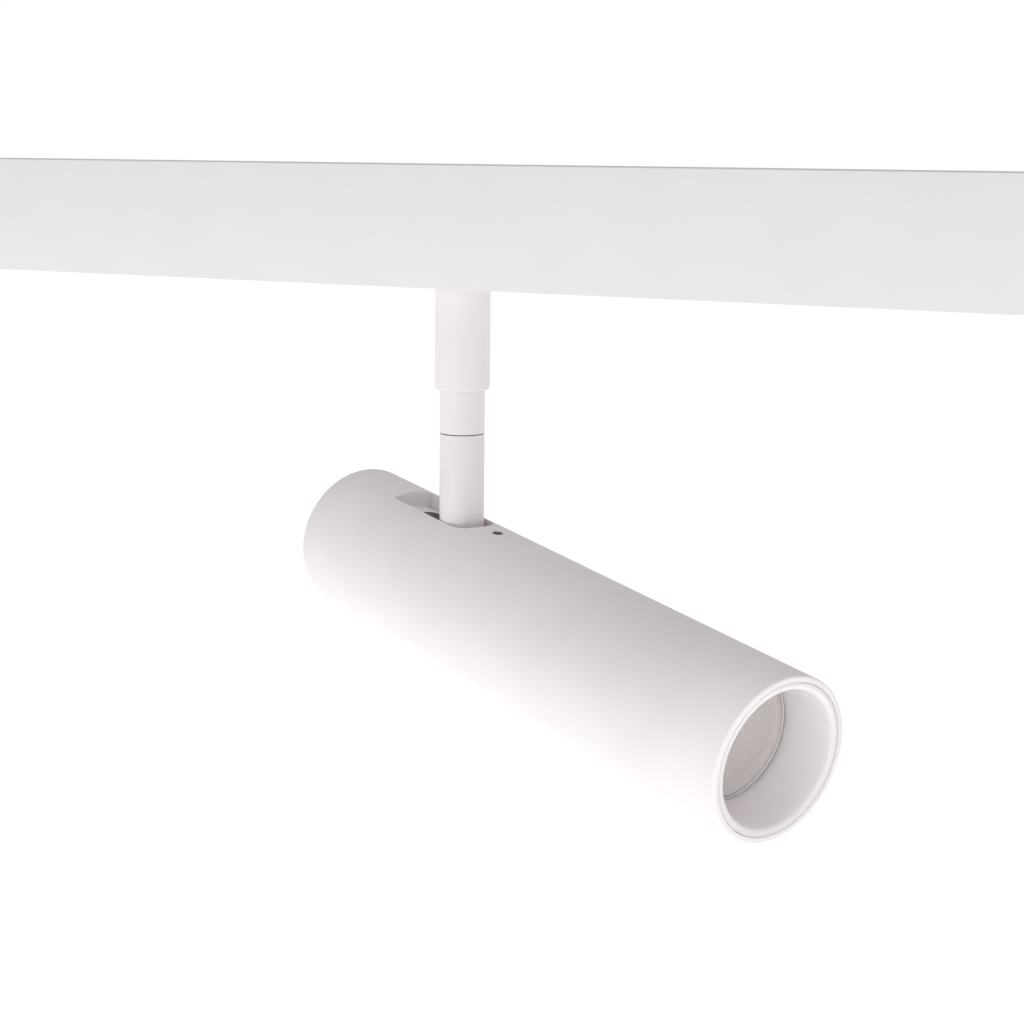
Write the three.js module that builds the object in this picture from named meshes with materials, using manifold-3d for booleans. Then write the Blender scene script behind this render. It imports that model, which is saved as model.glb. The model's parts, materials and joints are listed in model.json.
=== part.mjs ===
// A cylindrical spotlight on a length of three-circuit lighting track.
// Millimetres, +Z up. The origin is on the stem's axis, at the top face of the track.
// +X runs along the track, and the head leans towards +X and -Y.
import * as THREE from 'three';
import { mergeVertices } from 'three/addons/utils/BufferGeometryUtils.js';
import Module from 'manifold-3d';

const wasm = await Module();
wasm.setup();

// ---------------------------------------------------------------- driving dimensions

const GAP = 0.3; // between pieces that touch
const ROUND = 40; // segments round a large part
const SMALL_ROUND = 20; // segments round a small part

const SWIVEL_ANGLE = -26.61; // degrees about +Z: which way the head looks
const TILT_ANGLE = 7.73; // degrees nose down

const TRACK = {
  length: 500, width: 36, height: 32.7, wall: 1.6, lip: 1.8, slot: 17.2,
  flange: 1.2, flangeRise: 1.6, // the lip's upturned edge, where the cam rests
  shelf: 1.5, shelfTop: 23.4, // the ledge under each conductor carrier
  rib: 1.2, ribDepth: 1.6, ribInner: 8.4, // the rib that stops a carrier sliding in
  screwHole: 4.6, screwSpacing: 300,
};
const CARRIER = { inner: 10, outer: 16.1, back: 14.4, top: 2, bottom: 23, arm: 2.4 };
const CONDUCTOR = { width: 1.5, height: 3, inner: 12.6, trim: 6 };
const CAP = {
  plate: 2, width: 16.4, reach: 12, top: 4, screw: 6, screwHole: 1.8, recess: 3.3, recessDepth: 2.6,
};
const CAP_SCREW = { head: 3, headThick: 1.9, shank: 1.5, length: 24, sunk: 0.4, slot: 0.8 };
const FEED = {
  length: 42, top: 4, wireHole: 9, wireDepth: 12, terminal: 2, terminalDepth: 4, terminalPitch: 7,
};

const ADAPTER = {
  rear: -42, front: 110, width: 16.4, wall: 1.4, floor: 3.4, bottom: 32.5, top: 5, lid: 1.2,
};
const LOCK_X = -25; // quarter-turn lock
const CONTACT_X = 26; // quarter-turn contacts
const KNOB = { radius: 6, thick: 1.2, stub: 3, gripWidth: 2.4, gripDrop: 1 };
const CAM = { reach: 12.3, width: 5.4, thick: 2.4, bottom: 28.7, hub: 4.4 };
const BLADE = { reach: 12.3, width: 4, thick: 1.2, phaseZ: 7.85, neutralZ: 17.15, root: 1.2, slit: 6 };
const WINDOW = { half: 1.4, spare: 1.5 }; // the windows that the cam and the blades swing through
const BOARD_PLATE = { rear: 46, side: -6.4, thick: 1.2, bottom: 28.6, top: 7, endSpace: 3 };
const TRANSFORMER = { rear: 52, front: 72, depth: 10.5, bottom: 27, top: 9.5, step: 1.5, rise: 1 };
const CAPACITOR = { radius: 5, rear: 78, front: 100, side: 0.9, drop: 18 };
const LID_RIB = { from: 44, thick: 1, drop: 1.2 };

const NIPPLE = { radius: 4.9, bore: 3.2, top: 23, bottom: 45 };
const NUT = { flats: 13, height: 3.5, chamfer: 0.8 };
const TOOTHED = { ring: 5.6, tip: 6.4, thick: 0.8, teeth: 8, toothWidth: 1.6 };
const SLEEVE = { radius: 7.67, wall: 1.07, top: 32.8, bottom: 61.5, edge: 0.9 };
const ROD = { radius: 6.28, top: 33.1, bore: 3.5, wireBore: 3, endChamfer: 1.8 };
const JOINT_Z = 73.64; // the swivel's shadow gap
const JOINT_GAP = 0.45;
const SPINDLE = { radius: 3.2, bore: 2.2, top: 59.5, bottom: 91.7 };
const BUSH = { radius: 4.8, top: 63.7 };
const CLIP = { radius: 4.6, thick: 0.8 };
const WASHER = { radius: 5.6, thick: 1.2 };

const PIVOT_Z = -108.24;
const AXIS_DROP = 10; // the tube's axis below the pivot
const TUBE = {
  radius: 21, rear: -25.74, front: 129.36, thickBore: 16.7, thinBore: 19.5, step: 26,
};
const SLOT = { width: 13.4, front: 9.26, pocketRear: -19.44, pocketFloor: -13 };
const REAR_CAP = { rear: -50.84, front: -25.94, wall: 3.8, edge: 0.8 };
const BLOCK = { radius: 16.4, rear: -33.5, front: 25, wireHole: 3 };
const O_RING = { at: -30, inner: 15.5, width: 1.4, grooveDepth: 1.2 };
const PIN = { radius: 1.75, half: 11.2 };
const SPRING_WASHER = { radius: 4.2, thick: 0.9, seat: 1.5 };
const GRUB = { at: 15.56, hole: 1.5, radius: 1.2, top: 10.4, bottom: 4.5, socket: 0.5 };
const SINK = { rear: 30, front: 94.7, core: 7, radius: 19.2, fin: 2.4, pitch: 12, plate: 7 };
const LED = { size: 13.5, thick: 1.2, emitter: 4.6, emitterThick: 0.6 };
const HOLDER = { radius: 13, bore: 6.5, thick: 2, screwAt: 10.8 };
const LED_SCREW = { radius: 1.3, head: 2.2, headThick: 1.5, length: 8.5 };
const LENS = { face: 113.9, flange: 15.9, flangeThick: 1.5, body: 13.6, throat: 5.6, rear: 97.6 };
const LENS_CUP = { radius: 19.2, bore: 16.3, ledge: 14.3, ledgeThick: 1.2 };
const BAFFLE = { radius: 19.2, mouth: 17.5, throat: 16.3, rear: 114.2, edge: 0.8 };

// ---------------------------------------------------------------- materials

const finish = (color, roughness, metalness) =>
  new THREE.MeshStandardMaterial({ color, roughness, metalness });

const WHITE_PAINT = finish(0xf1f0f2, 0.6, 0.0);
const TRACK_PAINT = finish(0xeeeef1, 0.45, 0.0);
const WHITE_PLASTIC = finish(0xf0efed, 0.5, 0.0);
const CARRIER_PLASTIC = finish(0xd9d9d6, 0.5, 0.0);
const BLACK_PLASTIC = finish(0x1c1c1e, 0.5, 0.0);
const COPPER = finish(0xc77b4e, 0.35, 1.0);
const BRASS = finish(0xc9a658, 0.35, 1.0);
const STEEL = finish(0xb9bbbf, 0.35, 1.0);
const ALUMINIUM = finish(0xc6c8cb, 0.4, 1.0);
const BOARD = finish(0x1d6b45, 0.5, 0.0);
const CERAMIC = finish(0xf4f4f0, 0.4, 0.0);
const PHOSPHOR = finish(0xf2c94c, 0.6, 0.0);
const RUBBER = finish(0x202022, 0.8, 0.0);
const CLEAR = finish(0xdde3e6, 0.1, 0.0);

// ---------------------------------------------------------------- solids

/** A closed geometry as a solid with merged vertices and outward faces. */
function solid(geometry) {
  const bare = geometry.index ? geometry.toNonIndexed() : geometry.clone();
  bare.deleteAttribute('normal');
  bare.deleteAttribute('uv');
  const merged = mergeVertices(bare, 1e-4);
  const points = merged.attributes.position.array;
  const corner = (i) => new THREE.Vector3().fromArray(points, 3 * i);
  let triangles = [];
  let volume = 0;
  for (let i = 0; i < merged.index.count; i += 3) {
    const [a, b, c] = merged.index.array.slice(i, i + 3);
    if (a === b || b === c || c === a) continue;
    triangles.push([a, b, c]);
    volume += corner(a).dot(corner(b).cross(corner(c)));
  }
  if (volume < 0) triangles = triangles.map(([a, b, c]) => [a, c, b]);
  const mesh = new wasm.Mesh({
    numProp: 3,
    vertProperties: new Float32Array(points),
    triVerts: Uint32Array.from(triangles.flat()),
  });
  return new wasm.Manifold(mesh);
}

const cut = (body, ...tools) => tools.reduce((left, tool) => left.subtract(tool), body);
const join = (body, ...others) => others.reduce((all, other) => all.add(other), body);

/** A box between two corners. */
function box([x0, y0, z0], [x1, y1, z1]) {
  const geometry = new THREE.BoxGeometry(x1 - x0, y1 - y0, z1 - z0);
  return solid(geometry.translate((x0 + x1) / 2, (y0 + y1) / 2, (z0 + z1) / 2));
}

/** A round solid about Z, X or Y from its [radius, place along the axis] outline. */
function turned(outline, axis = 'z', segments = ROUND) {
  const points = outline.map(([r, along]) => new THREE.Vector2(r, along));
  if (outline[0][0] > 0 || outline.at(-1)[0] > 0) points.push(points[0].clone());
  const geometry = new THREE.LatheGeometry(points, segments);
  if (axis === 'z') geometry.rotateX(Math.PI / 2);
  if (axis === 'x') geometry.rotateZ(-Math.PI / 2);
  return solid(geometry);
}

/** A plain disc or rod between two places on an axis. */
const rod = (radius, from, to, axis = 'z', segments = SMALL_ROUND) =>
  turned([[0, from], [radius, from], [radius, to], [0, to]], axis, segments);

/** A plain ring or pipe between two places on an axis. */
const pipe = (outer, inner, from, to, axis = 'z', segments = SMALL_ROUND) =>
  turned([[inner, from], [outer, from], [outer, to], [inner, to]], axis, segments);

/** A closed [y, z] outline swept along X. */
function section(outline, from, to) {
  const shape = new THREE.Shape(outline.map(([y, z]) => new THREE.Vector2(y, z)));
  const geometry = new THREE.ExtrudeGeometry(shape, { depth: to - from, bevelEnabled: false });
  const alongX = new THREE.Matrix4().makeBasis(
    new THREE.Vector3(0, 1, 0), new THREE.Vector3(0, 0, 1), new THREE.Vector3(1, 0, 0));
  return solid(geometry.applyMatrix4(alongX).translate(from, 0, 0));
}

/** A slot with two round ends along X, swept along Z. */
function stadium(width, rear, front, bottom, top) {
  const radius = width / 2;
  const shape = new THREE.Shape();
  shape.absarc(front - radius, 0, radius, -Math.PI / 2, Math.PI / 2);
  shape.absarc(rear + radius, 0, radius, Math.PI / 2, 1.5 * Math.PI);
  const geometry = new THREE.ExtrudeGeometry(
    shape, { depth: top - bottom, bevelEnabled: false, curveSegments: 16 });
  return solid(geometry.translate(0, 0, bottom));
}

/** Adds a solid to a group as a named mesh. */
function place(group, name, body, material) {
  const { vertProperties, triVerts } = body.getMesh();
  const geometry = new THREE.BufferGeometry();
  geometry.setAttribute('position', new THREE.BufferAttribute(new Float32Array(vertProperties), 3));
  geometry.setIndex(new THREE.BufferAttribute(new Uint32Array(triVerts), 1));
  const mesh = new THREE.Mesh(geometry, material);
  mesh.name = name;
  group.add(mesh);
}

// ---------------------------------------------------------------- the track

/** The extruded channel, open below, with lips that carry the adapter. */
function trackProfile() {
  const { length, width, height, wall, lip, slot, flange, flangeRise, shelf, shelfTop } = TRACK;
  const half = width / 2;
  const inside = half - wall;
  const lipTop = lip - height;
  const right = [
    [half, 0], [half, -height], [slot / 2, -height], [slot / 2, lipTop + flangeRise],
    [slot / 2 + flange, lipTop + flangeRise], [slot / 2 + flange, lipTop], [inside, lipTop],
    [inside, -shelfTop - shelf], [inside - shelf, -shelfTop - shelf / 2],
    [inside - shelf, -shelfTop], [inside, -shelfTop], [inside, -wall],
    [TRACK.ribInner + TRACK.rib, -wall], [TRACK.ribInner + TRACK.rib, -wall - TRACK.ribDepth],
    [TRACK.ribInner, -wall - TRACK.ribDepth], [TRACK.ribInner, -wall],
  ];
  const left = right.map(([y, z]) => [-y, z]).reverse();
  const channel = section([...right, ...left], -length / 2, length / 2);
  const holes = [-0.5, 0.5].map((side) =>
    rod(TRACK.screwHole / 2, -wall - 1, 1).translate(side * TRACK.screwSpacing, 0, 0));
  return cut(channel, ...holes);
}

/** The plastic rail on one side that holds two conductors in its grooves. */
function conductorCarrier(side) {
  const { inner, outer, back, top, bottom, arm } = CARRIER;
  const middle = (top + bottom) / 2;
  const outline = [
    [inner, -top], [outer, -top], [outer, -bottom], [inner, -bottom], [inner, -bottom + arm],
    [back, -bottom + arm], [back, -middle - arm / 2], [inner, -middle - arm / 2],
    [inner, -middle + arm / 2], [back, -middle + arm / 2], [back, -top - arm], [inner, -top - arm],
  ].map(([y, z]) => [side * y, z]);
  const end = TRACK.length / 2 - GAP;
  return section(outline, -end, end);
}

/** A copper strip in a carrier's groove. */
function conductor(side, height) {
  const { width, inner, trim } = CONDUCTOR;
  const end = TRACK.length / 2 - trim;
  const [near, far] = [side * inner, side * (inner + width)].sort((a, b) => a - b);
  const half = CONDUCTOR.height / 2;
  return box([-end, near, -height - half], [end, far, -height + half]);
}

/** An end plate with a foot in the slot. It is made for the +X end. */
function endCap() {
  const end = TRACK.length / 2;
  const half = CAP.width / 2;
  const plate = box(
    [end + GAP, -TRACK.width / 2, -TRACK.height], [end + GAP + CAP.plate, TRACK.width / 2, 0]);
  const foot = box([end - CAP.reach, -half, -ADAPTER.bottom], [end + GAP + 1, half, -CAP.top]);
  const bottom = -ADAPTER.bottom;
  const screwHole = rod(CAP.screwHole, bottom - 1, -CAP.top + 1);
  const headRecess = rod(CAP.recess, bottom - 1, bottom + CAP.recessDepth);
  return cut(join(plate, foot), join(screwHole, headRecess).translate(end - CAP.screw, 0, 0));
}

/** The screw in an end cap's foot, with a slotted head. */
function capScrew() {
  const { head, headThick, shank, length, sunk, slot } = CAP_SCREW;
  const face = -ADAPTER.bottom + sunk;
  const screw = turned([
    [0, face], [head, face], [head, face + headThick], [shank, face + headThick],
    [shank, face + length], [0, face + length],
  ], 'z', SMALL_ROUND);
  const drive = box([-head - 1, -slot / 2, face - 1], [head + 1, slot / 2, face + slot]);
  return cut(screw, drive).translate(TRACK.length / 2 - CAP.screw, 0, 0);
}

/** The supply's terminal block, just inside the live end. */
function feedBlock() {
  const start = -TRACK.length / 2 + CAP.reach + GAP;
  const half = CAP.width / 2;
  const body = box([start, -half, -ADAPTER.bottom], [start + FEED.length, half, -FEED.top]);
  const middle = start + FEED.length / 2;
  const wireHole = rod(FEED.wireHole / 2, -FEED.top - FEED.wireDepth, -FEED.top + 1)
    .translate(middle, 0, 0);
  const terminals = [-2, -1, 0, 1, 2].map((i) =>
    rod(FEED.terminal, -ADAPTER.bottom - 1, -ADAPTER.bottom + FEED.terminalDepth, 'z', 16)
      .translate(middle + FEED.terminalPitch * i, 0, 0));
  return cut(body, wireHole, ...terminals);
}

/** Everything that is fixed to the ceiling. */
function track() {
  const group = new THREE.Group();
  place(group, 'track_profile', trackProfile(), TRACK_PAINT);
  for (const [side, word] of [[-1, 'front'], [1, 'rear']]) {
    place(group, `conductor_carrier_${word}`, conductorCarrier(side), CARRIER_PLASTIC);
    place(group, `conductor_upper_${word}`, conductor(side, BLADE.phaseZ), COPPER);
    place(group, `conductor_lower_${word}`, conductor(side, BLADE.neutralZ), COPPER);
  }
  for (const [angle, word] of [[0, 'right'], [180, 'left']]) {
    place(group, `end_cap_${word}`, endCap().rotate([0, 0, angle]), WHITE_PLASTIC);
    place(group, `end_cap_screw_${word}`, capScrew().rotate([0, 0, angle]), STEEL);
  }
  place(group, 'feed_block', feedBlock(), WHITE_PLASTIC);
  return group;
}

// ---------------------------------------------------------------- the adapter

/** A window through both side walls, for what swings out at a quarter turn. */
function sweepWindow(centre, bottom, top) {
  const reach = CAM.reach - WINDOW.spare;
  return box([centre - reach, -ADAPTER.width, bottom], [centre + reach, ADAPTER.width, top]);
}

/** The long trough that slides in the slot, with windows for the cam and the blades. */
function adapterHousing() {
  const { rear, front, width, wall, floor, bottom, top } = ADAPTER;
  const half = width / 2;
  const floorTop = floor - bottom;
  const outer = box([rear, -half, -bottom], [front, half, -top]);
  const hollow = box([rear + wall, wall - half, floorTop], [front - wall, half - wall, 1 - top]);
  const knobSeats = [LOCK_X, CONTACT_X].flatMap((x) => [
    rod(KNOB.radius + 0.4, -bottom - 1, -bottom + KNOB.thick + 0.4).translate(x, 0, 0),
    rod(KNOB.stub + GAP, -bottom - 1, floorTop + 1).translate(x, 0, 0),
  ]);
  const nippleHole = rod(NIPPLE.radius + GAP, -bottom - 1, floorTop + 1);
  const windows = [
    sweepWindow(LOCK_X, floorTop, CAM.thick - CAM.bottom + 0.4),
    ...[BLADE.phaseZ, BLADE.neutralZ].map((z) => sweepWindow(CONTACT_X, -z - WINDOW.half, -z + WINDOW.half)),
  ];
  return cut(outer, hollow, ...knobSeats, nippleHole, ...windows);
}

/** The lid that closes the trough, with a locating rib inside each long wall. */
function adapterLid() {
  const { rear, front, width, wall, top, lid } = ADAPTER;
  const half = width / 2;
  const bottom = GAP - top;
  const ribSide = half - wall - GAP;
  const plate = box([rear, -half, bottom], [front, half, bottom + lid]);
  const ribs = [-1, 1].map((side) => {
    const [near, far] = [side * (ribSide - LID_RIB.thick), side * ribSide].sort((a, b) => a - b);
    return box([LID_RIB.from, near, bottom - LID_RIB.drop], [front - wall - GAP, far, bottom + 0.5]);
  });
  return join(plate, ...ribs);
}

/** A quarter-turn knob set flush in the trough's floor, with a finger grip across it. */
function knob() {
  const bottom = -ADAPTER.bottom;
  const disc = rod(KNOB.radius, bottom, bottom + KNOB.thick);
  const stub = rod(KNOB.stub, bottom + 0.5, bottom + ADAPTER.floor - GAP);
  const grip = box(
    [-KNOB.radius + 1, -KNOB.gripWidth / 2, bottom - KNOB.gripDrop],
    [KNOB.radius - 1, KNOB.gripWidth / 2, bottom + 0.5]);
  return join(disc, stub, grip);
}

/** The two-winged cam that hooks over the track's lips. */
function lockCam() {
  const bottom = -CAM.bottom;
  const wings = box([-CAM.width / 2, -CAM.reach, bottom], [CAM.width / 2, CAM.reach, bottom + CAM.thick]);
  const round = rod(CAM.reach, bottom - 1, bottom + CAM.thick + 1, 'z', ROUND);
  const hub = rod(CAM.hub, bottom, bottom + CAM.thick + 2.5);
  return join(wings.intersect(round), hub);
}

/** The insulating post that carries the two contact blades. */
function contactPost() {
  const bottom = -CAM.bottom;
  const post = rod(CAM.hub, bottom, -BLADE.phaseZ + 2);
  const slots = [BLADE.phaseZ, BLADE.neutralZ].map((z, i) => {
    const side = i === 0 ? 1 : -1;
    const [near, far] = [side * BLADE.root, side * BLADE.slit].sort((a, b) => a - b);
    const half = BLADE.thick / 2 + GAP;
    return box([-BLADE.width / 2 - GAP, near, -z - half], [BLADE.width / 2 + GAP, far, -z + half]);
  });
  return cut(post, ...slots);
}

/** A contact blade that reaches one conductor. */
function contactBlade(side, height) {
  const [near, far] = [side * (BLADE.root + GAP), side * BLADE.reach].sort((a, b) => a - b);
  const half = BLADE.thick / 2;
  const blade = box([-BLADE.width / 2, near, -height - half], [BLADE.width / 2, far, -height + half]);
  return blade.intersect(rod(BLADE.reach, -height - 1, -height + 1, 'z', ROUND));
}

/** The driver's circuit board, standing on its long edge against one wall. */
function driverBoard() {
  const { rear, side, thick, bottom, top, endSpace } = BOARD_PLATE;
  return box([rear, side, -bottom], [ADAPTER.front - endSpace, side + thick, -top]);
}

/** The transformer on the board: its core, and the bobbin that stands out of it. */
function driverTransformer() {
  const { rear, front, depth, bottom, top, step, rise } = TRANSFORMER;
  const face = BOARD_PLATE.side + BOARD_PLATE.thick + GAP;
  const core = box([rear, face, -bottom], [front, face + depth, -top]);
  const bobbin = box(
    [rear + step, face, -bottom - rise], [front - step, face + depth - rise, -top + rise]);
  return join(core, bobbin);
}

/** The smoothing capacitor, lying along the trough. */
function driverCapacitor() {
  const { radius, rear, front, side, drop } = CAPACITOR;
  return rod(radius, rear, front, 'x').translate(0, side, -drop);
}

/** The hollow nipple that joins the stem to the adapter, chamfered at both ends. */
function nipple() {
  const { radius, bore, top, bottom } = NIPPLE;
  return turned([
    [bore, -bottom], [radius - 0.5, -bottom], [radius, -bottom + 0.5], [radius, -top - 0.5],
    [radius - 0.5, -top], [bore, -top],
  ], 'z', SMALL_ROUND);
}

/** The hexagon nut on the nipple, its flats along the trough's walls. */
function nippleNut(bottom) {
  const corner = NUT.flats / Math.sqrt(3);
  const hexagon = rod(corner, bottom, bottom + NUT.height, 'z', 6).rotate([0, 0, 30]);
  const chamfer = turned([
    [0, bottom - 0.1], [corner - NUT.chamfer, bottom - 0.1], [corner, bottom + NUT.chamfer],
    [corner, bottom + NUT.height - NUT.chamfer], [corner - NUT.chamfer, bottom + NUT.height + 0.1],
    [0, bottom + NUT.height + 0.1],
  ], 'z', SMALL_ROUND);
  const bore = rod(NIPPLE.radius + GAP, bottom - 1, bottom + NUT.height + 1);
  return cut(hexagon.intersect(chamfer), bore);
}

/** The toothed washer that bites under the nut. */
function toothedWasher(bottom) {
  const { ring: outer, tip, thick, teeth: count, toothWidth } = TOOTHED;
  const ring = pipe(outer, NIPPLE.radius + GAP, bottom, bottom + thick);
  const teeth = Array.from({ length: count }, (_, i) =>
    box([outer - 0.3, -toothWidth / 2, bottom], [tip, toothWidth / 2, bottom + thick])
      .rotate([0, 0, (360 / count) * i]));
  return join(ring, ...teeth);
}

/** The short outer sleeve under the track. */
function stemSleeve() {
  const { radius, wall, top, bottom, edge } = SLEEVE;
  const corner = [0, 1, 2, 3].map((i) => {
    const angle = (i / 3) * (Math.PI / 2);
    return [radius - edge + edge * Math.sin(angle), -bottom + edge - edge * Math.cos(angle)];
  });
  return turned([[radius - wall, -bottom], ...corner, [radius, -top], [radius - wall, -top]]);
}

/** The fixed half of the stem, bored for the nipple and for the swivel's bush. */
function upperRod() {
  const faceZ = -JOINT_Z + JOINT_GAP / 2;
  const seat = BUSH.radius + GAP;
  const washerSeat = WASHER.radius + GAP;
  const washerTop = faceZ + 0.7;
  const wide = NIPPLE.radius + GAP;
  return turned([
    [washerSeat, faceZ], [ROD.radius, faceZ], [ROD.radius, -ROD.top], [wide, -ROD.top],
    [wide, -NIPPLE.bottom - 1], [ROD.bore, -NIPPLE.bottom - 2.7], [ROD.bore, -SPINDLE.top + 2],
    [seat, -SPINDLE.top], [seat, washerTop], [washerSeat, washerTop],
  ]);
}

/** Everything that slides along the track together. */
function adapter() {
  const group = new THREE.Group();
  const floorTop = ADAPTER.floor - ADAPTER.bottom;
  place(group, 'adapter_housing', adapterHousing(), WHITE_PLASTIC);
  place(group, 'adapter_lid', adapterLid(), WHITE_PLASTIC);
  place(group, 'driver_board', driverBoard(), BOARD);
  place(group, 'driver_transformer', driverTransformer(), BLACK_PLASTIC);
  place(group, 'driver_capacitor', driverCapacitor(), RUBBER);
  place(group, 'threaded_nipple', nipple(), BRASS);
  place(group, 'toothed_washer', toothedWasher(floorTop + GAP), STEEL);
  place(group, 'nipple_nut', nippleNut(floorTop + 2 * GAP + TOOTHED.thick), BRASS);
  place(group, 'stem_sleeve', stemSleeve(), WHITE_PAINT);
  place(group, 'upper_rod', upperRod(), WHITE_PAINT);
  const bush = pipe(BUSH.radius, SPINDLE.radius + GAP, -JOINT_Z + 1.25, -BUSH.top);
  place(group, 'swivel_bush', bush, BRASS);
  return group;
}

/** The quarter-turn lock, as it is when the adapter is locked in the track. */
function lock() {
  const group = new THREE.Group();
  group.position.x = LOCK_X;
  place(group, 'lock_knob', knob(), WHITE_PLASTIC);
  place(group, 'lock_cam', lockCam(), STEEL);
  return group;
}

/** The quarter-turn contacts, as they are when they touch the conductors. */
function contacts() {
  const group = new THREE.Group();
  group.position.x = CONTACT_X;
  place(group, 'contact_knob', knob(), WHITE_PLASTIC);
  place(group, 'contact_post', contactPost(), BLACK_PLASTIC);
  place(group, 'phase_blade', contactBlade(1, BLADE.phaseZ), COPPER);
  place(group, 'neutral_blade', contactBlade(-1, BLADE.neutralZ), COPPER);
  return group;
}

// ---------------------------------------------------------------- the turning stem

/** The lower half of the stem: a hollow rod with a rounded end and a cross hole for the pin. */
function lowerRod() {
  const faceZ = -JOINT_Z - JOINT_GAP / 2;
  const endZ = PIVOT_Z - ROD.radius;
  const washerSeat = WASHER.radius + GAP;
  const body = turned([
    [ROD.bore, -SPINDLE.bottom - GAP], [ROD.bore, faceZ - 0.7], [washerSeat, faceZ - 0.7],
    [washerSeat, faceZ], [ROD.radius, faceZ], [ROD.radius, endZ + ROD.endChamfer * 1.6],
    [ROD.radius - ROD.endChamfer, endZ], [ROD.wireBore, endZ],
    [ROD.wireBore, -SPINDLE.bottom - GAP],
  ]);
  const keep = join(
    box([-10, -10, PIVOT_Z], [10, 10, 0]),
    rod(ROD.radius, -10, 10, 'y', ROUND).translate(0, 0, PIVOT_Z));
  const crossHole = rod(PIN.radius + GAP, -10, 10, 'y').translate(0, 0, PIVOT_Z);
  return cut(body.intersect(keep), crossHole);
}

/** The hollow spindle that the stem turns on, with a groove for its clip. */
function swivelSpindle() {
  const { radius, bore, top, bottom } = SPINDLE;
  const grooveBottom = GAP - BUSH.top;
  const grooveTop = grooveBottom + CLIP.thick + 2 * GAP - 0.2;
  const groove = radius - 0.5;
  return turned([
    [bore, -bottom], [radius, -bottom], [radius, grooveBottom - 0.2], [groove, grooveBottom - 0.2],
    [groove, grooveTop], [radius, grooveTop], [radius, -top], [bore, -top],
  ], 'z', SMALL_ROUND);
}

/** The open clip that stops the spindle dropping out of its bush. */
function retainingClip() {
  const bottom = GAP - BUSH.top;
  const ring = pipe(CLIP.radius, SPINDLE.radius - 0.2, bottom, bottom + CLIP.thick);
  return cut(ring, box([0, -1.2, bottom - 1], [10, 1.2, bottom + 2]));
}

/** Everything that swivels about the stem's axis. */
function stem() {
  const group = new THREE.Group();
  group.rotation.z = THREE.MathUtils.degToRad(SWIVEL_ANGLE);
  place(group, 'lower_rod', lowerRod(), WHITE_PAINT);
  place(group, 'swivel_spindle', swivelSpindle(), STEEL);
  place(group, 'retaining_clip', retainingClip(), STEEL);
  const half = WASHER.thick / 2;
  const washer = pipe(WASHER.radius, SPINDLE.radius + 0.4, -JOINT_Z - half, -JOINT_Z + half);
  place(group, 'swivel_washer', washer, BLACK_PLASTIC);
  return group;
}

// ---------------------------------------------------------------- the head
// Its own frame has its origin at the pivot, +X towards the light and +Z up.

const onAxis = (body) => body.translate(0, 0, -AXIS_DROP);

/** The long tube: thick-walled round the pivot and thin-walled round the light. */
function mainTube() {
  const { radius, rear, front, thickBore, thinBore, step } = TUBE;
  const tube = onAxis(turned([
    [thickBore, rear], [radius, rear], [radius, front - 0.3], [radius - 0.3, front],
    [thinBore, front], [thinBore, step + 2], [thickBore, step],
  ], 'x', ROUND));
  const slot = join(
    stadium(SLOT.width, rear - 20, SLOT.front, 0, radius),
    box([rear - 5, -SLOT.width / 2, 0], [rear + 5, SLOT.width / 2, radius]));
  const grubHole = rod(GRUB.hole, 0, radius).translate(GRUB.at, 0, 0);
  return cut(tube, slot, grubHole);
}

/** The closed cup behind the slot. */
function rearCap() {
  const { rear, front, wall, edge } = REAR_CAP;
  const corner = [0, 1, 2, 3].map((i) => {
    const angle = (i / 3) * (Math.PI / 2);
    return [TUBE.radius - edge + edge * Math.sin(angle), rear + edge - edge * Math.cos(angle)];
  });
  return onAxis(turned([
    [0, rear], ...corner, [TUBE.radius, front], [TUBE.thickBore, front],
    [TUBE.thickBore, rear + wall], [0, rear + wall],
  ], 'x', ROUND));
}

/** The block that holds the pivot pin, with the pocket that the rod swings in. */
function pivotBlock() {
  const { radius, rear, front, wireHole } = BLOCK;
  const grooveHalf = O_RING.width / 2 + GAP;
  const grooved = radius - O_RING.grooveDepth;
  const body = onAxis(turned([
    [0, rear], [radius, rear], [radius, O_RING.at - grooveHalf], [grooved, O_RING.at - grooveHalf],
    [grooved, O_RING.at + grooveHalf], [radius, O_RING.at + grooveHalf], [radius, front], [0, front],
  ], 'x', ROUND));
  const pocket = stadium(SLOT.width, SLOT.pocketRear, SLOT.front, SLOT.pocketFloor, radius);
  const pinHole = rod(PIN.radius + GAP, -radius, radius, 'y');
  const seatSide = SLOT.width / 2 + SPRING_WASHER.seat;
  const washerSeats = rod(SPRING_WASHER.radius + GAP, -seatSide, seatSide, 'y');
  const wireWay = rod(wireHole, 0, front + 1, 'x').translate(0, 0, -3);
  const grubSeat = rod(GRUB.hole, GRUB.bottom - GAP, radius).translate(GRUB.at, 0, 0);
  return cut(body, pocket, pinHole, washerSeats, wireWay, grubSeat);
}

/** A dished spring washer on the pin, on one side of the rod. */
function springWasher(side) {
  const near = SLOT.width / 2 + GAP;
  const { radius, thick } = SPRING_WASHER;
  const bore = PIN.radius + GAP;
  return turned([
    [bore, side * near], [radius, side * (near + thick / 3)], [radius, side * (near + thick)],
    [bore, side * (near + (2 * thick) / 3)],
  ], 'y', SMALL_ROUND);
}

/** The grub screw in the tube's top, with a hexagon socket. */
function grubScrew() {
  const body = turned([
    [0, GRUB.bottom], [GRUB.radius - 0.3, GRUB.bottom], [GRUB.radius, GRUB.bottom + 0.4],
    [GRUB.radius, GRUB.top], [0, GRUB.top],
  ], 'z', SMALL_ROUND);
  return cut(body, rod(GRUB.socket, GRUB.top - 1.5, GRUB.top + 1, 'z', 6)).translate(GRUB.at, 0, 0);
}

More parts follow.
